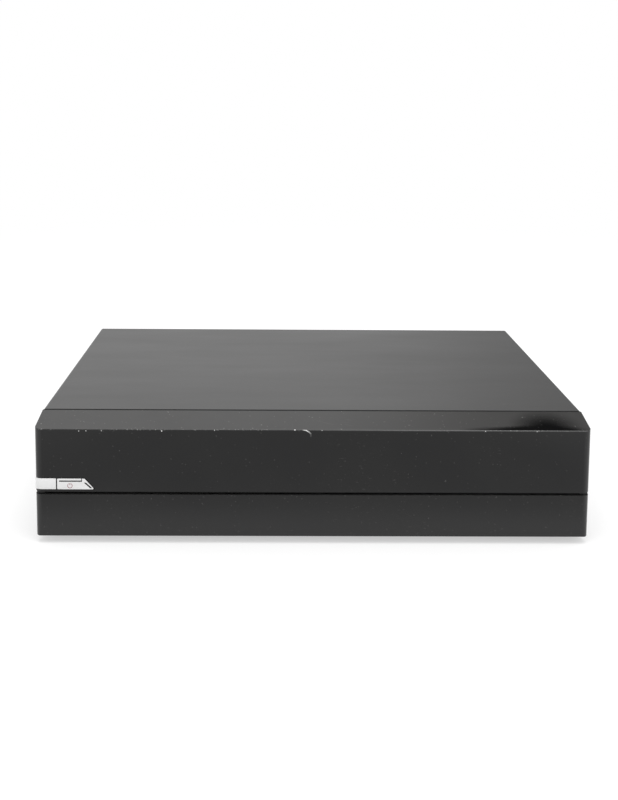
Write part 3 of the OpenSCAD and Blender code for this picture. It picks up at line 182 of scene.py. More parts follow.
def makeSpecks(look):
    tree, given, wanted = startGroup("dustSpecks", {"Vector": origin, "Scale": 400.0, "Size": 0.12},
                                     ["Mask"])
    place, scale = given["Vector"], given["Scale"]
    # A finer noise pushes the cells about, so that no speck is a clean disc
    wobble = addNode(tree, "ShaderNodeTexNoise", {
        "Vector": place, "Scale": times(tree, scale, look["wobbleTimes"]), "Detail": 1.0})
    push = vectorMaths(tree, "SUBTRACT", wobble.outputs["Color"], (0.5, 0.5, 0.5))
    push = vectorMaths(tree, "SCALE", push, maths(tree, "DIVIDE", look["wobble"], scale))
    moved = vectorMaths(tree, "ADD", place, push)
    cells = addNode(tree, "ShaderNodeTexVoronoi", {
        "Vector": moved, "Scale": scale, "Randomness": 1.0}).outputs
    lot = addNode(tree, "ShaderNodeSeparateColor", {"Color": cells["Color"]}).outputs
    size = times(tree, given["Size"], spread(tree, lot[1], look["smallest"], 1.0))
    near = maths(tree, "LESS_THAN", cells["Distance"], size)
    rare = maths(tree, "GREATER_THAN", lot[0], look["rarity"])
    tree.links.new(times(tree, near, rare), wanted["Mask"])
    return tree


hairLook = {"stretch": (14.0, 1300.0, 1300.0), "thinSpan": (0.68, 0.74),
            "patchScale": 22.0, "patchSpan": (0.5, 0.66)}


def makeScratches(look):
    tree, given, wanted = startGroup("hairScratches", {"Vector": origin, "Turn": 0.4}, ["Mask"])
    place = given["Vector"]
    turned = addNode(tree, "ShaderNodeVectorRotate", {"Vector": place, "Angle": given["Turn"]},
                     rotation_type="Z_AXIS").outputs[0]
    long = addNode(tree, "ShaderNodeMapping", {"Vector": turned, "Scale": look["stretch"]})
    lines = noise(tree, long.outputs[0], 1.0, Detail=1.5, Distortion=0.3)
    patch = noise(tree, place, look["patchScale"], Detail=1.0)
    thin = ranged(tree, lines, *look["thinSpan"])
    some = ranged(tree, patch, *look["patchSpan"])
    tree.links.new(times(tree, thin, some), wanted["Mask"])
    return tree


def makeSpot():
    tree, given, wanted = startGroup("roundSpot", {
        "Vector": origin, "Centre": origin, "Stretch": (1.0, 1.0, 1.0), "Radius": 0.001,
        "Core": 0.6}, ["Mask"])
    away = vectorMaths(tree, "SUBTRACT", given["Vector"], given["Centre"])
    reach = vectorMaths(tree, "LENGTH", vectorMaths(tree, "DIVIDE", away, given["Stretch"]))
    share = maths(tree, "DIVIDE", reach, given["Radius"])
    tree.links.new(ranged(tree, share, 1.0, given["Core"]), wanted["Mask"])
    return tree


wearLook = {"across": (0.0, 1.0, 1.0), "core": 0.5,  # the worn edge runs along x
            "bitScale": 1100.0, "bitSpan": (0.58, 0.66), "runScale": 40.0, "runSpan": (0.45, 0.6)}


def makeEdgeWear(look):
    tree, given, wanted = startGroup("edgeWear", {
        "Vector": origin, "Edge": origin, "Reach": 0.0006}, ["Mask", "Line"])
    place = given["Vector"]
    away = vectorMaths(tree, "SUBTRACT", place, given["Edge"])
    gap = vectorMaths(tree, "LENGTH", vectorMaths(tree, "MULTIPLY", away, look["across"]))
    near = ranged(tree, maths(tree, "DIVIDE", gap, given["Reach"]), 1.0, look["core"])
    bits = ranged(tree, noise(tree, place, look["bitScale"], Detail=2.0), *look["bitSpan"])
    runs = ranged(tree, noise(tree, place, look["runScale"], Detail=1.0), *look["runSpan"])
    tree.links.new(times(tree, near, times(tree, bits, runs)), wanted["Mask"])
    tree.links.new(near, wanted["Line"])
    return tree


settledLook = {"scale": 24.0, "cloudSpan": (0.25, 0.75), "thinnest": 0.75,
               "levelSpan": (0.55, 0.93)}


def makeSettled(look):
    tree, given, wanted = startGroup("settledDust", {"Vector": origin, "Normal": origin}, ["Mask"])
    cloud = noise(tree, given["Vector"], look["scale"], Detail=5.0, Roughness=0.6)
    uneven = ranged(tree, cloud, *look["cloudSpan"], look["thinnest"], 1.0)
    level = ranged(tree, axes(tree, given["Normal"])["Z"], *look["levelSpan"])
    tree.links.new(times(tree, level, uneven), wanted["Mask"])
    return tree


seamShadeLook = {"core": 0.6, "rough": 0.8,
             "seam": {"Seam": -0.10135, "Reach": 0.0012}}  # painted shade along the seam between cover and glossy strip


# Painted shade: darkens the colour near the seam line, where shade falls in the gap
def makeSeamShade(look):
    tree, given, wanted = startGroup("seamShade", {"Vector": origin, "Seam": 0.0, "Reach": 0.001},
                                     ["Mask"])
    y = axes(tree, given["Vector"])["Y"]
    gap = maths(tree, "ABSOLUTE", maths(tree, "SUBTRACT", y, given["Seam"]))
    share = maths(tree, "DIVIDE", gap, given["Reach"])
    tree.links.new(ranged(tree, share, 1.0, look["core"]), wanted["Mask"])
    return tree


mottle = makeMottle(mottleLook)
specks = makeSpecks(speckLook)
scratches = makeScratches(hairLook)
roundSpot = makeSpot()
edgeWear = makeEdgeWear(wearLook)
settled = makeSettled(settledLook)
seamShade = makeSeamShade(seamShadeLook)
print("stage: shared effects")

# Material helpers


def startMaterial(name, **constants):
    material = bpy.data.materials.new(name)
    material.use_nodes = True
    tree = material.node_tree
    shader = tree.nodes["Principled BSDF"]
    for key, value in constants.items():
        shader.inputs[key.replace("_", " ")].default_value = value
    place = addNode(tree, "ShaderNodeTexCoord").outputs["Object"]
    return material, tree, shader, place


def paint(tree, shader, colour, rough):
    tree.links.new(colour, shader.inputs["Base Color"])
    tree.links.new(rough, shader.inputs["Roughness"])


def bumped(tree, shader, height, strength, distance):
    made = addNode(tree, "ShaderNodeBump", {"Height": height, "Strength": strength,
                                            "Distance": distance})
    tree.links.new(made.outputs[0], shader.inputs["Normal"])


# Mixes the painted seam shade into colour and roughness
def seamShaded(tree, place, colour, rough, black):
    seamShadeMask = grouped(tree, seamShade, place, **seamShadeLook["seam"])["Mask"]
    return mixed(tree, seamShadeMask, colour, black), raised(tree, rough, seamShadeMask, seamShadeLook["rough"])


# Glossy black front with dust, hair scratches and a chipped edge, with a painted highlight along
# the edge and a painted reflection in the dust film at the strip's right end

rake = math.radians(6)  # lean of the front face
faceFoot = (0.0, -0.127595, 0.004)  # foot of the face
topEdge = (0.0, -0.1214, 0.0629)  # edge between the face and the strip that slopes to the cover
frontLook = {
    "black": (0.0048, 0.0048, 0.0051, 1), "greyed": (0.0068, 0.0067, 0.0066, 1),
    "specular": 0.48, "rough": (0.15, 0.2), "mottleScale": 22.0,
    "dust": (0.16, 0.157, 0.153, 1), "dustShare": (0.35, 0.9), "dustHeight": 0.5,
    "coarseSpecks": {"Scale": 250.0, "Size": 0.11},
    "fineSpecks": {"Scale": 520.0, "Size": 0.2}, "fineShare": 0.5,
    "hairTurn": 0.3, "hairShare": 0.15, "bump": (0.05, 0.0002),
    "film": (0.044, 0.0433, 0.0426, 1), "dustAndSheenRight": (0.058, 0.057, 0.056, 1),
    "dustAndSheenAcross": (0.02, 0.09), "filmRise": (1.0, 1.5), "filmRough": 0.22,  # thicker and paler to the right: partly dust, partly painted reflection that brightens the strip's right end
    # wiped patches, where the film is cleared in the shape of a dark reflection, as centre, half
    # sizes and core
    "wiped": (((0.1020, -0.1212, 0.063), (0.026, 0.0045, 0.03), 0.0),
              ((0.1223, -0.1208, 0.063), (0.031, 0.0056, 0.03), 0.45),
              ((0.1270, -0.1200, 0.064), (0.0235, 0.0225, 0.03), 0.15)),
    "wipedShine": 0.65,
    # painted highlight: a paler line along the top edge, stronger to the right
    "edgeHighlight": (0.16, 0.16, 0.158, 1), "edgeHighlightAcross": (-0.02, 0.06), "edgeHighlightRise": (0.1, 0.42),
    "edgeReach": 0.0006, "chip": (0.85, 0.85, 0.84, 1), "wornShare": 0.18, "chipRough": 0.6,
}
chipLook = {
    # x, way down from the edge, radius and strength
    "chips": ((-0.1269, 0.0010, 0.0004, 0.6), (-0.1230, 0.0009, 0.00036, 0.7),
              (-0.1147, 0.0008, 0.00036, 0.6), (-0.0822, 0.0008, 0.00042, 1.0),
              (-0.0537, 0.0003, 0.0003, 1.0), (-0.0103, -0.0002, 0.0006, 1.0),
              (0.0044, 0.0002, 0.00025, 1.0), (0.0931, 0.0004, 0.0003, 1.0),
              (0.1211, 0.0004, 0.00025, 1.0)),
    "stretch": (0.9, 1.0, 1.1),
    # x, way down and strength along one curved scratch
    "scratch": ((-0.0057, 0.0000, 0.45), (-0.0049, 0.0001, 0.8), (-0.0041, 0.0003, 1.0),
                (-0.0034, 0.0007, 1.0), (-0.0027, 0.0011, 0.7), (-0.0021, 0.0016, 0.4),
                (-0.0017, 0.0021, 0.2), (-0.0016, 0.0028, 0.09), (-0.0016, 0.0035, 0.05)),
    "scratchRadius": 0.0004, "scratchStretch": (1.4, 1.0, 0.9),
}


def edgePoint(x, down):
    return x, topEdge[1] - down * math.tan(rake), topEdge[2] - down


def chipMarks(look):
    marks = []
    for x, down, radius, strength in look["chips"]:
        marks.append((edgePoint(x, down), look["stretch"], radius, strength))
    for x, down, strength in look["scratch"]:
        marks.append((edgePoint(x, down), look["scratchStretch"], look["scratchRadius"], strength))
    return marks


def frontMaterial(name, look, marks=()):
    material, tree, shader, place = startMaterial(name, Specular_IOR_Level=look["specular"])
    facing = addNode(tree, "ShaderNodeTexCoord").outputs["Normal"]
    across = axes(tree, place)["X"]
    blot = grouped(tree, mottle, place, Scale=look["mottleScale"])
    hair = grouped(tree, scratches, place, Turn=look["hairTurn"])["Mask"]
    coarse = grouped(tree, specks, place, **look["coarseSpecks"])["Mask"]
    fine = grouped(tree, specks, place, **look["fineSpecks"])["Mask"]
    dust = raised(tree, coarse, fine, look["fineShare"])
    film = grouped(tree, settled, place, Normal=facing)["Mask"]
    # The film grows thicker and paler to the right: painted reflection on top of the dust
    dustAndSheenRise = ranged(tree, across, *look["dustAndSheenAcross"], *look["filmRise"])
    film = maths(tree, "MULTIPLY", film, dustAndSheenRise, clamp=True)
    dustAndSheenToRight = ranged(tree, across, *look["dustAndSheenAcross"])
    dustAndSheenTone = mixed(tree, dustAndSheenToRight, look["film"], look["dustAndSheenRight"])
    rough = spread(tree, blot["Broad"], *look["rough"])
    # Painted reflection: the wiped patches clear the film and smooth the surface in the shape of
    # the dark reflection
    for centre, stretch, core in look["wiped"]:
        wipedReflectionPatch = grouped(tree, roundSpot, place, Centre=centre, Stretch=stretch, Radius=1.0,
                        Core=core)["Mask"]
        film = times(tree, film, maths(tree, "SUBTRACT", 1.0, wipedReflectionPatch))
        rough = times(tree, rough, spread(tree, wipedReflectionPatch, 1.0, look["wipedShine"]))
    colour = mixed(tree, blot["Broad"], look["black"], look["greyed"])
    colour = mixed(tree, film, colour, dustAndSheenTone)
    dustShare = ranged(tree, film, 0.0, 1.0, *look["dustShare"])
    colour = tinted(tree, colour, look["dust"], dust, dustShare)
    colour = tinted(tree, colour, look["dust"], hair, look["hairShare"])
    rough = raised(tree, rough, film, look["filmRough"])
    colour, rough = seamShaded(tree, place, colour, rough, look["black"])
    if marks:
        edge = grouped(tree, edgeWear, place, Edge=topEdge, Reach=look["edgeReach"])
        # Painted highlight along the top edge, growing towards the right
        edgeHighlightShare = ranged(tree, across, *look["edgeHighlightAcross"], *look["edgeHighlightRise"])
        colour = tinted(tree, colour, look["edgeHighlight"], edge["Line"], edgeHighlightShare)
        colour = tinted(tree, colour, look["chip"], edge["Mask"], look["wornShare"])
    for centre, stretch, radius, strength in marks:
        spot = grouped(tree, roundSpot, place, Centre=centre, Stretch=stretch, Radius=radius)
        spot = times(tree, spot["Mask"], strength)
        colour = mixed(tree, spot, colour, look["chip"])
        rough = raised(tree, rough, spot, look["chipRough"])
    paint(tree, shader, colour, rough)
    height = maths(tree, "ADD", hair, times(tree, dust, look["dustHeight"]))
    bumped(tree, shader, height, *look["bump"])
    return material


# Satin black paint of the cover, with wiped smears

coverLook = {
    "black": (0.018, 0.018, 0.0184, 1), "smear": (0.024, 0.0238, 0.0236, 1),
    "specular": 0.5, "rough": (0.28, 0.34), "mottleScale": 13.0,
    "wipeTurn": (0.0, 0.0, 0.35), "wipeStretch": (6.0, 26.0, 6.0),
    "wipeScale": 1.6, "wipeSpan": (0.3, 0.7),
    "film": (0.038, 0.0376, 0.0372, 1), "filmRise": (0.55, 1.0),
    "grain": (0.08, 0.078, 0.076, 1), "grainShare": 0.12, "bump": (0.06, 0.0001),
    "hair": (0.2, 0.2, 0.2, 1), "hairTurn": 1.1, "hairShare": 0.12,
    "dust": (0.3, 0.29, 0.28, 1), "dustShare": 0.3, "specks": {"Scale": 300.0, "Size": 0.09},
}


def coverMaterial(name, look):
    material, tree, shader, place = startMaterial(name, Specular_IOR_Level=look["specular"])
    facing = addNode(tree, "ShaderNodeTexCoord").outputs["Normal"]
    blot = grouped(tree, mottle, place, Scale=look["mottleScale"])
    hair = grouped(tree, scratches, place, Turn=look["hairTurn"])["Mask"]
    dust = grouped(tree, specks, place, **look["specks"])["Mask"]
    wiped = addNode(tree, "ShaderNodeMapping", {"Vector": place, "Rotation": look["wipeTurn"],
                                                "Scale": look["wipeStretch"]}).outputs[0]
    smear = noise(tree, wiped, look["wipeScale"], Detail=4.0)
    film = grouped(tree, settled, place, Normal=facing)["Mask"]
    film = times(tree, film, ranged(tree, smear, *look["wipeSpan"], *look["filmRise"]))
    colour = mixed(tree, blot["Broad"], look["black"], look["smear"])
    colour = mixed(tree, film, colour, look["film"])
    colour = tinted(tree, colour, look["grain"], blot["Fine"], look["grainShare"])
    colour = tinted(tree, colour, look["hair"], hair, look["hairShare"])
    colour = tinted(tree, colour, look["dust"], dust, look["dustShare"])
    rough = ranged(tree, smear, *look["wipeSpan"], *look["rough"], False)
    colour, rough = seamShaded(tree, place, colour, rough, look["black"])
    paint(tree, shader, colour, rough)
    bumped(tree, shader, blot["Fine"], *look["bump"])
    return material


# Button painted silver on its face only; the black moulding shows from just behind the face, which
# also paints shade into its slits and onto their lit walls

buttonLook = {
    "paint": (0.93, 0.932, 0.93, 1), "worn": (0.9, 0.9, 0.9, 1), "bareAndShade": (0.008, 0.008, 0.008, 1),
    "rough": (0.26, 0.36), "mottleScale": 60.0, "paintDepth": (-0.00029, -0.0002),
}


def buttonMaterial(name, look):
    material, tree, shader, place = startMaterial(name)
    inward = (0.0, math.cos(rake), -math.sin(rake))
    fromFoot = vectorMaths(tree, "SUBTRACT", place, faceFoot)
    depth = vectorMaths(tree, "DOT_PRODUCT", fromFoot, inward)
    blot = grouped(tree, mottle, place, Scale=look["mottleScale"])
    colour = mixed(tree, blot["Broad"], look["paint"], look["worn"])
    # Black from the paint depth inward: bare moulding, and painted shade in the slits
    colour = mixed(tree, ranged(tree, depth, *look["paintDepth"]), colour, look["bareAndShade"])
    paint(tree, shader, colour, spread(tree, blot["Fine"], *look["rough"]))
    return material


# Phono inserts, where each of the four jacks has its own colour

phonoLook = {
    "upper": ((0.62, 0.42, 0.02, 1), (0.7, 0.7, 0.68, 1)),
    "lower": ((0.42, 0.02, 0.02, 1), (0.5, 0.16, 0.01, 1)),
    "soil": (0.05, 0.05, 0.05, 1), "soilShare": 0.15, "rough": (0.35, 0.5), "mottleScale": 120.0,
}


def phonoMaterial(name, look):
    material, tree, shader, place = startMaterial(name)
    lo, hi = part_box("phono_inserts")
    middle = (lo + hi) / 2
    at = axes(tree, place)
    right = maths(tree, "GREATER_THAN", at["X"], middle.x)
    above = maths(tree, "GREATER_THAN", at["Z"], middle.z)
    lower, upper = mixed(tree, right, *look["lower"]), mixed(tree, right, *look["upper"])
    blot = grouped(tree, mottle, place, Scale=look["mottleScale"])
    colour = mixed(tree, above, lower, upper)
    colour = tinted(tree, colour, look["soil"], blot["Broad"], look["soilShare"])
    paint(tree, shader, colour, spread(tree, blot["Fine"], *look["rough"]))
    return material


# Plain finishes: two tones that mottle, the span of roughness and the mottle's scale

plainLook = {
    "silver": {"tones": ((0.93, 0.932, 0.93, 1), (0.9, 0.9, 0.9, 1)),
               "rough": (0.26, 0.36), "scale": 60.0, "grain": 0.05},
    "innerBlack": {"tones": ((0.018, 0.018, 0.019, 1), (0.026, 0.026, 0.027, 1)),
                   "rough": (0.45, 0.6), "scale": 50.0, "grain": 0.15},
    "frameBlack": {"tones": ((0.014, 0.014, 0.0145, 1), (0.019, 0.019, 0.0194, 1)),
                   "rough": (0.5, 0.65), "scale": 50.0, "grain": 0.15},
    "steel": {"tones": ((0.52, 0.53, 0.54, 1), (0.42, 0.43, 0.45, 1)),
              "rough": (0.28, 0.46), "scale": 55.0, "metallic": 0.9, "grain": 0.05},
    "tin": {"tones": ((0.68, 0.69, 0.7, 1), (0.58, 0.59, 0.6, 1)),
            "rough": (0.2, 0.34), "scale": 70.0, "metallic": 0.95, "grain": 0.03},
    "rubber": {"tones": ((0.02, 0.02, 0.02, 1), (0.03, 0.03, 0.03, 1)),
               "rough": (0.7, 0.85), "scale": 90.0, "grain": 0.2},
    "boardGreen": {"tones": ((0.012, 0.1, 0.035, 1), (0.02, 0.16, 0.06, 1)),
                   "rough": (0.3, 0.45), "scale": 120.0},
    "boardBrown": {"tones": ((0.3, 0.17, 0.06, 1), (0.22, 0.12, 0.04, 1)),
                   "rough": (0.5, 0.62), "scale": 80.0},
    "chip": {"tones": ((0.02, 0.02, 0.022, 1), (0.03, 0.03, 0.032, 1)),
             "rough": (0.4, 0.55), "scale": 150.0, "grain": 0.1},
    "aluminium": {"tones": ((0.6, 0.61, 0.62, 1), (0.5, 0.51, 0.52, 1)),
                  "rough": (0.3, 0.42), "scale": 60.0, "metallic": 0.95},
    "keyGrey": {"tones": ((0.05, 0.05, 0.054, 1), (0.065, 0.065, 0.068, 1)),
                "rough": (0.4, 0.55), "scale": 200.0, "grain": 0.1},
    "nylon": {"tones": ((0.74, 0.73, 0.68, 1), (0.66, 0.64, 0.58, 1)),
              "rough": (0.42, 0.55), "scale": 120.0},
    "displayGlass": {"tones": ((0.012, 0.02, 0.024, 1), (0.02, 0.03, 0.034, 1)),
                     "rough": (0.05, 0.1), "scale": 60.0},
    "lampRed": {"tones": ((0.5, 0.03, 0.025, 1), (0.38, 0.02, 0.02, 1)),
                "rough": (0.1, 0.2), "scale": 200.0},
    "tape": {"tones": ((0.42, 0.3, 0.06, 1), (0.3, 0.2, 0.04, 1)),
             "rough": (0.4, 0.55), "scale": 90.0},
    "sleeveBlue": {"tones": ((0.02, 0.05, 0.16, 1), (0.03, 0.07, 0.2, 1)),
                   "rough": (0.22, 0.32), "scale": 90.0},
    "fuseGlass": {"tones": ((0.72, 0.75, 0.75, 1), (0.6, 0.63, 0.63, 1)),
                  "rough": (0.08, 0.16), "scale": 90.0},
    "brass": {"tones": ((0.72, 0.52, 0.2, 1), (0.6, 0.42, 0.15, 1)),
              "rough": (0.25, 0.38), "scale": 120.0, "metallic": 0.95},
    "ribbon": {"tones": ((0.62, 0.62, 0.6, 1), (0.52, 0.52, 0.5, 1)),
               "rough": (0.4, 0.5), "scale": 200.0},
    "wireRed": {"tones": ((0.45, 0.04, 0.03, 1), (0.35, 0.03, 0.02, 1)),
                "rough": (0.35, 0.5), "scale": 200.0},
    "printRed": {"tones": ((0.4, 0.17, 0.2, 1), (0.34, 0.13, 0.16, 1)),
                 "rough": (0.4, 0.55), "scale": 300.0},
    "printPale": {"tones": ((0.62, 0.62, 0.61, 1), (0.55, 0.55, 0.54, 1)),
                  "rough": (0.45, 0.6), "scale": 300.0},
}
grainDepth = 0.0001


def plainMaterial(name, look):
    material, tree, shader, place = startMaterial(name, Metallic=look.get("metallic", 0.0))
    blot = grouped(tree, mottle, place, Scale=look["scale"])
    colour = mixed(tree, blot["Broad"], *look["tones"])
    paint(tree, shader, colour, spread(tree, blot["Fine"], *look["rough"]))
    if "grain" in look:
        bumped(tree, shader, blot["Fine"], look["grain"], grainDepth)
    return material


materials = {name: plainMaterial(name, look) for name, look in plainLook.items()}
materials["frontGloss"] = frontMaterial("frontGloss", frontLook, chipMarks(chipLook))
materials["flapGloss"] = frontMaterial("flapGloss", frontLook)
materials["coverPaint"] = coverMaterial("coverPaint", coverLook)
materials["silverFace"] = buttonMaterial("silverFace", buttonLook)
materials["phono"] = phonoMaterial("phono", phonoLook)

# Which solids carry which finish

finishes = {
    "frontGloss": ["fascia_panel"],
    "flapGloss": ["front_flap"],
    "coverPaint": ["top_cover", "rear_panel", "cover_screws"],
    "silver": ["end_trim"],
    "silverFace": ["power_button"],
    "frameBlack": ["bezel_frame"],
    "innerBlack": ["card_reader", "phono_block", "av_sockets", "socket_tongues", "mains_inlet",
                   "switch_housing", "switch_rocker", "push_latch"],
    "steel": ["chassis_pan"],
    "tin": ["flap_pins", "aerial_shells", "phono_sleeves", "front_data_socket", "rear_data_socket",
            "video_socket", "network_jack", "tuner_module", "module_cage", "board_screws"],
    "rubber": ["feet"],
    "boardGreen": ["front_board", "key_board", "main_board"],
    "boardBrown": ["supply_board"],
    "chip": ["processor", "memory_chips", "key_switches", "power_switch", "switch_plunger",
             "ir_receiver"],
    "aluminium": ["heat_sink", "supply_heat_sink"],
    "keyGrey": ["key_menu", "key_ok", "key_volume_down", "key_volume_up", "key_channel_down",
                "key_channel_up"],
    "nylon": ["aerial_insulators", "cable_sockets"],
    "displayGlass": ["display_module"],
    "lampRed": ["standby_led"],
    "phono": ["phono_inserts"],
    "tape": ["transformer", "line_filter"],
    "sleeveBlue": ["bulk_capacitor"],
    "fuseGlass": ["fuse"],
    "brass": ["inlet_pins"],
    "ribbon": ["ribbon_cable"],
    "wireRed": ["supply_harness"],
}
for finish, names in finishes.items():
    for name in names:
        nodes[name].data.materials.clear()
        nodes[name].data.materials.append(materials[finish])
print("stage: materials")

# Small mouldings with rounded edges, which stand for their sharp solids

edgeLook = {"crease": math.radians(35), "flat": math.radians(1), "mergeGap": 1e-6, "segments": 3}
softLook = {
    "power_button": {"body": "standby_button", "slot": "silver", "finish": "silverFace",
                     "width": 0.00013},
    "end_trim": {"body": "case", "slot": "silver", "finish": "silver", "width": 0.00015},
    "switch_rocker": {"body": "mains_rocker", "slot": "inner_black", "finish": "innerBlack",
                      "width": 0.0004},
}
for key in finishes["keyGrey"]:
    softLook[key] = {"body": key + "_body", "slot": "key_grey", "finish": "keyGrey",
                     "width": 0.0003}


def startPiece(name, mesh):
    piece = bpy.data.objects.new(name, mesh)
    bpy.context.collection.objects.link(piece)
    bpy.ops.object.select_all(action="DESELECT")
    piece.select_set(True)
    bpy.context.view_layer.objects.active = piece
    bpy.ops.object.mode_set(mode="EDIT")
    return piece


def applyBevel(piece, width, segments):
    edge = piece.modifiers.new("edge", "BEVEL")
    edge.width = width
    edge.segments = segments
    edge.limit_method = "ANGLE"
    edge.angle_limit = edgeLook["crease"]
    edge.use_clamp_overlap = True
    bpy.ops.object.modifier_apply(modifier="edge")
    bpy.ops.object.shade_smooth_by_angle(angle=edgeLook["crease"])


def finishPiece(piece, finish, body):
    piece.data.materials.clear()
    piece.data.materials.append(materials[finish])
    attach(piece, body)


def addRounded(node, look):
    piece = startPiece(node + "_rounded", nodes[node].data.copy())
    bpy.ops.mesh.select_all(action="SELECT")
    bpy.ops.mesh.customdata_custom_splitnormals_clear()
    bpy.ops.mesh.remove_doubles(threshold=edgeLook["mergeGap"])
    bpy.ops.mesh.dissolve_limited(angle_limit=edgeLook["flat"])
    bpy.ops.object.mode_set(mode="OBJECT")
    applyBevel(piece, look["width"], edgeLook["segments"])
    finishPiece(piece, look["finish"], look["body"])
    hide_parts(node)


for node, look in softLook.items():
    addRounded(node, look)
print("stage: rounded mouldings", len(softLook))

# Symbols, drawn flat with x across, y up and z outwards, then set on the faces that carry them

symbolLook = {"line": 0.0004, "thick": 0.00012, "bevel": 0.00003,
              "ringSegments": 40, "lineSegments": 8}


def startSymbol(name):
    return startPiece(name, bpy.data.meshes.new(name))


def addBar(look, x, y, w, h):
    bpy.ops.mesh.primitive_cube_add(size=1, location=(x, y, 0))
    bpy.ops.transform.resize(value=(w, h, look["thick"]), center_override=(x, y, 0))


def addRing(look, r, gap=0.0):
    bpy.ops.mesh.primitive_torus_add(
        location=(0, 0, 0), major_radius=r, minor_radius=look["line"] / 2,
        major_segments=look["ringSegments"], minor_segments=look["lineSegments"])
    flatter = look["thick"] / look["line"]
    bpy.ops.transform.resize(value=(1, 1, flatter), center_override=(0, 0, 0))
    if gap:
        ring = bpy.context.object
        bpy.ops.mesh.select_all(action="DESELECT")
        bpy.ops.object.mode_set(mode="OBJECT")
        for face in ring.data.polygons:
            face.select = abs(math.atan2(face.center.x, face.center.y)) < gap / 2
        bpy.ops.object.mode_set(mode="EDIT")
        bpy.ops.mesh.delete(type="FACE")
        bpy.ops.mesh.select_all(action="SELECT")
        bpy.ops.mesh.fill_holes(sides=0)


def addTriangle(look, r, turn):
    bpy.ops.mesh.primitive_cylinder_add(vertices=3, radius=r, depth=look["thick"],
                                        location=(0, 0, 0), rotation=(0, 0, turn))


def setSymbol(piece, look, at, turn, finish, body):
    bpy.ops.object.mode_set(mode="OBJECT")
    applyBevel(piece, look["bevel"], 1)
    piece.location = at
    piece.rotation_euler = turn
    bpy.ops.object.transform_apply(location=True, rotation=True, scale=True)
    finishPiece(piece, finish, body)


# Standby sign on the button: the bar's place and length are shares of the ring's radius

standbyLook = {**symbolLook, "radius": 0.00125, "line": 0.00032, "gap": math.radians(50),
               "barUp": 0.75, "barLong": 0.9, "across": -0.13206, "up": 0.02813, "proud": 0.00036}


def addStandbySymbol(look):
    radius, up, proud = look["radius"], look["up"], look["proud"]
    piece = startSymbol("standbySymbol")
    addRing(look, radius, look["gap"])
    addBar(look, 0, radius * look["barUp"], look["line"], radius * look["barLong"])
    y = faceFoot[1] + up * math.sin(rake) - proud * math.cos(rake)
    z = faceFoot[2] + up * math.cos(rake) + proud * math.sin(rake)
    setSymbol(piece, look, (look["across"], y, z), (math.pi / 2 - rake, 0, 0),
              "printRed", "standby_button")


addStandbySymbol(standbyLook)

# Signs on the keys behind the flap: rows and arms are shares of the reach

keyLook = {**symbolLook, "reach": 0.0011, "rowGap": 0.75, "armUp": 0.6, "armLong": 0.8}


def drawMenu(look):
    reach = look["reach"]
    for row in (-1, 0, 1):
        addBar(look, 0, row * reach * look["rowGap"], reach * 2, look["line"])


def drawRing(look):
    addRing(look, look["reach"])


def drawLess(look):
    addBar(look, 0, 0, look["reach"] * 2, look["line"])


def drawMore(look):
    reach = look["reach"]
    drawLess(look)
    for side in (-1, 1):
        addBar(look, 0, side * reach * look["armUp"], look["line"], reach * look["armLong"])


def drawDown(look):
    addTriangle(look, look["reach"], math.pi)


def drawUp(look):
    addTriangle(look, look["reach"], 0)


def drawUpright(look):
    addBar(look, 0, 0, look["line"], look["reach"] * 2)


keySymbols = {"key_menu": drawMenu, "key_ok": drawRing,
              "key_volume_down": drawLess, "key_volume_up": drawMore,
              "key_channel_down": drawDown, "key_channel_up": drawUp}


def addKeySymbol(key, draw, look):
    lo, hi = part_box(key)
    piece = startSymbol(key + "_symbol")
    draw(look)
    setSymbol(piece, look, ((lo.x + hi.x) / 2, lo.y, (lo.z + hi.z) / 2), (math.pi / 2, 0, 0),
              "printPale", key + "_body")


for key, draw in keySymbols.items():
    addKeySymbol(key, draw, keyLook)

# On and off marks of the mains rocker, each at a share of its height

rockerLook = {**symbolLook, "reach": 0.0015, "standOff": 0.01,
              "marks": {"rocker_drawOn": (drawUpright, 0.75), "rocker_drawOff": (drawRing, 0.34)}}


def addRockerMarks(look):
    lo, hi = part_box("switch_rocker")
    rocker = bpy.data.objects["switch_rocker_rounded"]
    for name, (draw, share) in look["marks"].items():
        height = lo.z + share * (hi.z - lo.z)
        eye = Vector(((lo.x + hi.x) / 2, hi.y + look["standOff"], height))
        bpy.context.view_layer.update()
        at, normal = rocker.ray_cast(eye, (0, -1, 0))[1:3]
        piece = startSymbol(name)
        draw(look)
        setSymbol(piece, look, at, (math.atan2(normal.y, normal.z), 0, math.pi),
                  "printPale", "mains_rocker")


addRockerMarks(rockerLook)
print("stage: symbols", 1 + len(keySymbols) + len(rockerLook["marks"]))

# Floor, world and lamp

frontLevel = 0.69  # brightness that the front mirrors


def grey(level):
    return level, level, level, 1


def glowing(tree, kind, strength):
    return addNode(tree, kind, {"Color": white, "Strength": strength}).outputs[0]


def either(tree, factor, a, b):
    return addNode(tree, "ShaderNodeMixShader", {0: factor, 1: a, 2: b}).outputs[0]


def seenRays(tree):
    path = addNode(tree, "ShaderNodeLightPath").outputs
    mirrored = maths(tree, "MAXIMUM", path["Is Glossy Ray"], path["Is Transmission Ray"])
    return path["Is Camera Ray"], maths(tree, "MAXIMUM", path["Is Camera Ray"], mirrored)


floorLook = {
    "size": 60.0, "tone": 0.55, "paler": 1.03, "grainScale": 3.0, "glow": 0.5, "fade": (0.5, 1.4),
    "frontFade": (-0.32, -0.17), "frontWidth": (0.2, 0.45),
}


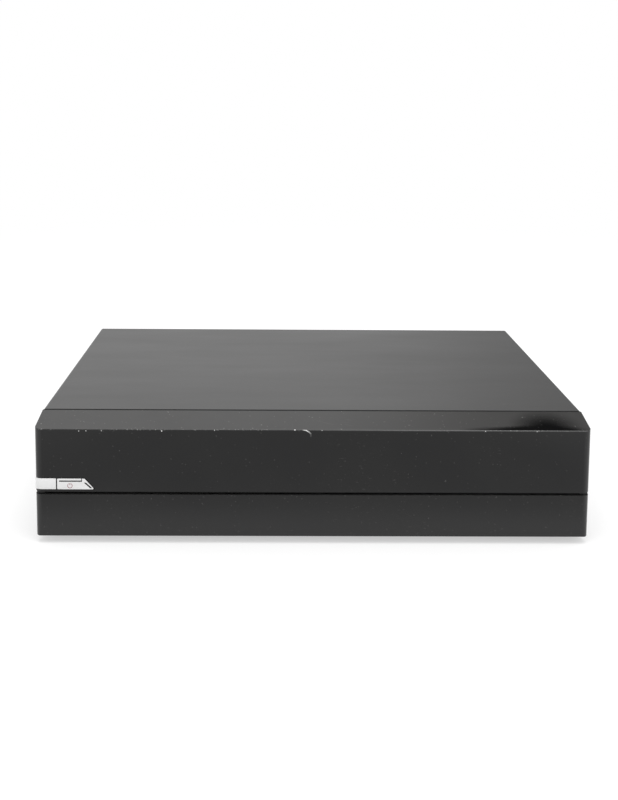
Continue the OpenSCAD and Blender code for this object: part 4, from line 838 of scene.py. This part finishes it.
def addFloor(look):
    bpy.ops.object.select_all(action="DESELECT")
    bpy.ops.mesh.primitive_plane_add(size=look["size"], location=(0, 0, 0))
    floor = bpy.context.object
    floor.name = "floor"
    material = bpy.data.materials.new("floorWhite")
    material.use_nodes = True
    tree = material.node_tree
    tree.nodes.clear()
    place = addNode(tree, "ShaderNodeTexCoord").outputs["Object"]
    grain = noise(tree, place, look["grainScale"])
    tone = mixed(tree, grain, grey(look["tone"]), grey(look["tone"] * look["paler"]))
    matte = addNode(tree, "ShaderNodeBsdfDiffuse", {"Color": tone}).outputs[0]
    glow = glowing(tree, "ShaderNodeEmission", look["glow"])
    near = addNode(tree, "ShaderNodeAddShader", {0: matte, 1: glow}).outputs[0]
    far = glowing(tree, "ShaderNodeEmission", 1.0)
    away = vectorMaths(tree, "LENGTH", place)
    shown = either(tree, ranged(tree, away, *look["fade"]), near, far)
    # In front of the box the floor is darker, but only where the box mirrors it
    camera, seen = seenRays(tree)
    at = axes(tree, place)
    ahead = ranged(tree, at["Y"], *look["frontFade"], 1.0, 0.0)
    width = ranged(tree, maths(tree, "ABSOLUTE", at["X"]), *look["frontWidth"], 1.0, 0.0)
    dim = times(tree, times(tree, ahead, width), maths(tree, "SUBTRACT", 1.0, camera))
    shown = either(tree, dim, shown, glowing(tree, "ShaderNodeEmission", frontLevel))
    addNode(tree, "ShaderNodeOutputMaterial", {"Surface": either(tree, seen, matte, shown)})
    floor.data.materials.append(material)


worldLook = {
    "light": 0.95, "low": (0.78, 0.635), "lowHeights": (0.2, 0.27),
    "high": (0.0, 0.46), "highHeights": (0.4, 0.7), "frontToBack": (-0.2, 0.5),
    "sideFall": (1.0, 0.5), "sideAcross": (0.03, 0.27),
    "shade": 0.03, "shadeAcross": (0.07, 0.17), "shadeHeights": (0.45, 0.65),
}


def addWorld(look):
    world = bpy.data.worlds.new("studio")
    world.use_nodes = True
    bpy.context.scene.world = world
    tree = world.node_tree
    tree.nodes.clear()
    x, y, z = axes(tree, addNode(tree, "ShaderNodeTexCoord").outputs["Generated"])
    camera, seen = seenRays(tree)
    low = ranged(tree, z, *look["lowHeights"], *look["low"])
    high = ranged(tree, z, *look["highHeights"], *look["high"])
    side = ranged(tree, x, *look["sideAcross"], *look["sideFall"])
    shade = times(tree, ranged(tree, x, *look["shadeAcross"]),
                  ranged(tree, z, *look["shadeHeights"]))
    back = times(tree, maths(tree, "ADD", low, high), side)
    back = times(tree, back, spread(tree, shade, 1.0, look["shade"]))
    change = times(tree, ranged(tree, y, *look["frontToBack"]),
                   maths(tree, "SUBTRACT", back, frontLevel))
    level = maths(tree, "ADD", frontLevel, change)
    level = addNode(tree, "ShaderNodeMix", {0: camera, 2: level, 3: 1.0}).outputs[0]
    shown = glowing(tree, "ShaderNodeBackground", level)
    lit = glowing(tree, "ShaderNodeBackground", look["light"])
    addNode(tree, "ShaderNodeOutputWorld", {"Surface": either(tree, seen, lit, shown)})


lampLook = {"power": 7.0, "size": 1.0, "place": (0.05, -0.35, 1.6), "aim": (0, 0, 0.03)}


def addLamp(look):
    bpy.ops.object.light_add(type="AREA", location=look["place"])
    lamp = bpy.context.object
    lamp.name = "overheadLamp"
    lamp.data.energy = look["power"]
    lamp.data.size = look["size"]
    aim = Vector(look["aim"]) - lamp.location
    lamp.rotation_euler = aim.to_track_quat("-Z", "Y").to_euler()


addFloor(floorLook)
addWorld(worldLook)
addLamp(lampLook)
bpy.context.scene.view_settings.view_transform = "Standard"
print("stage: room")
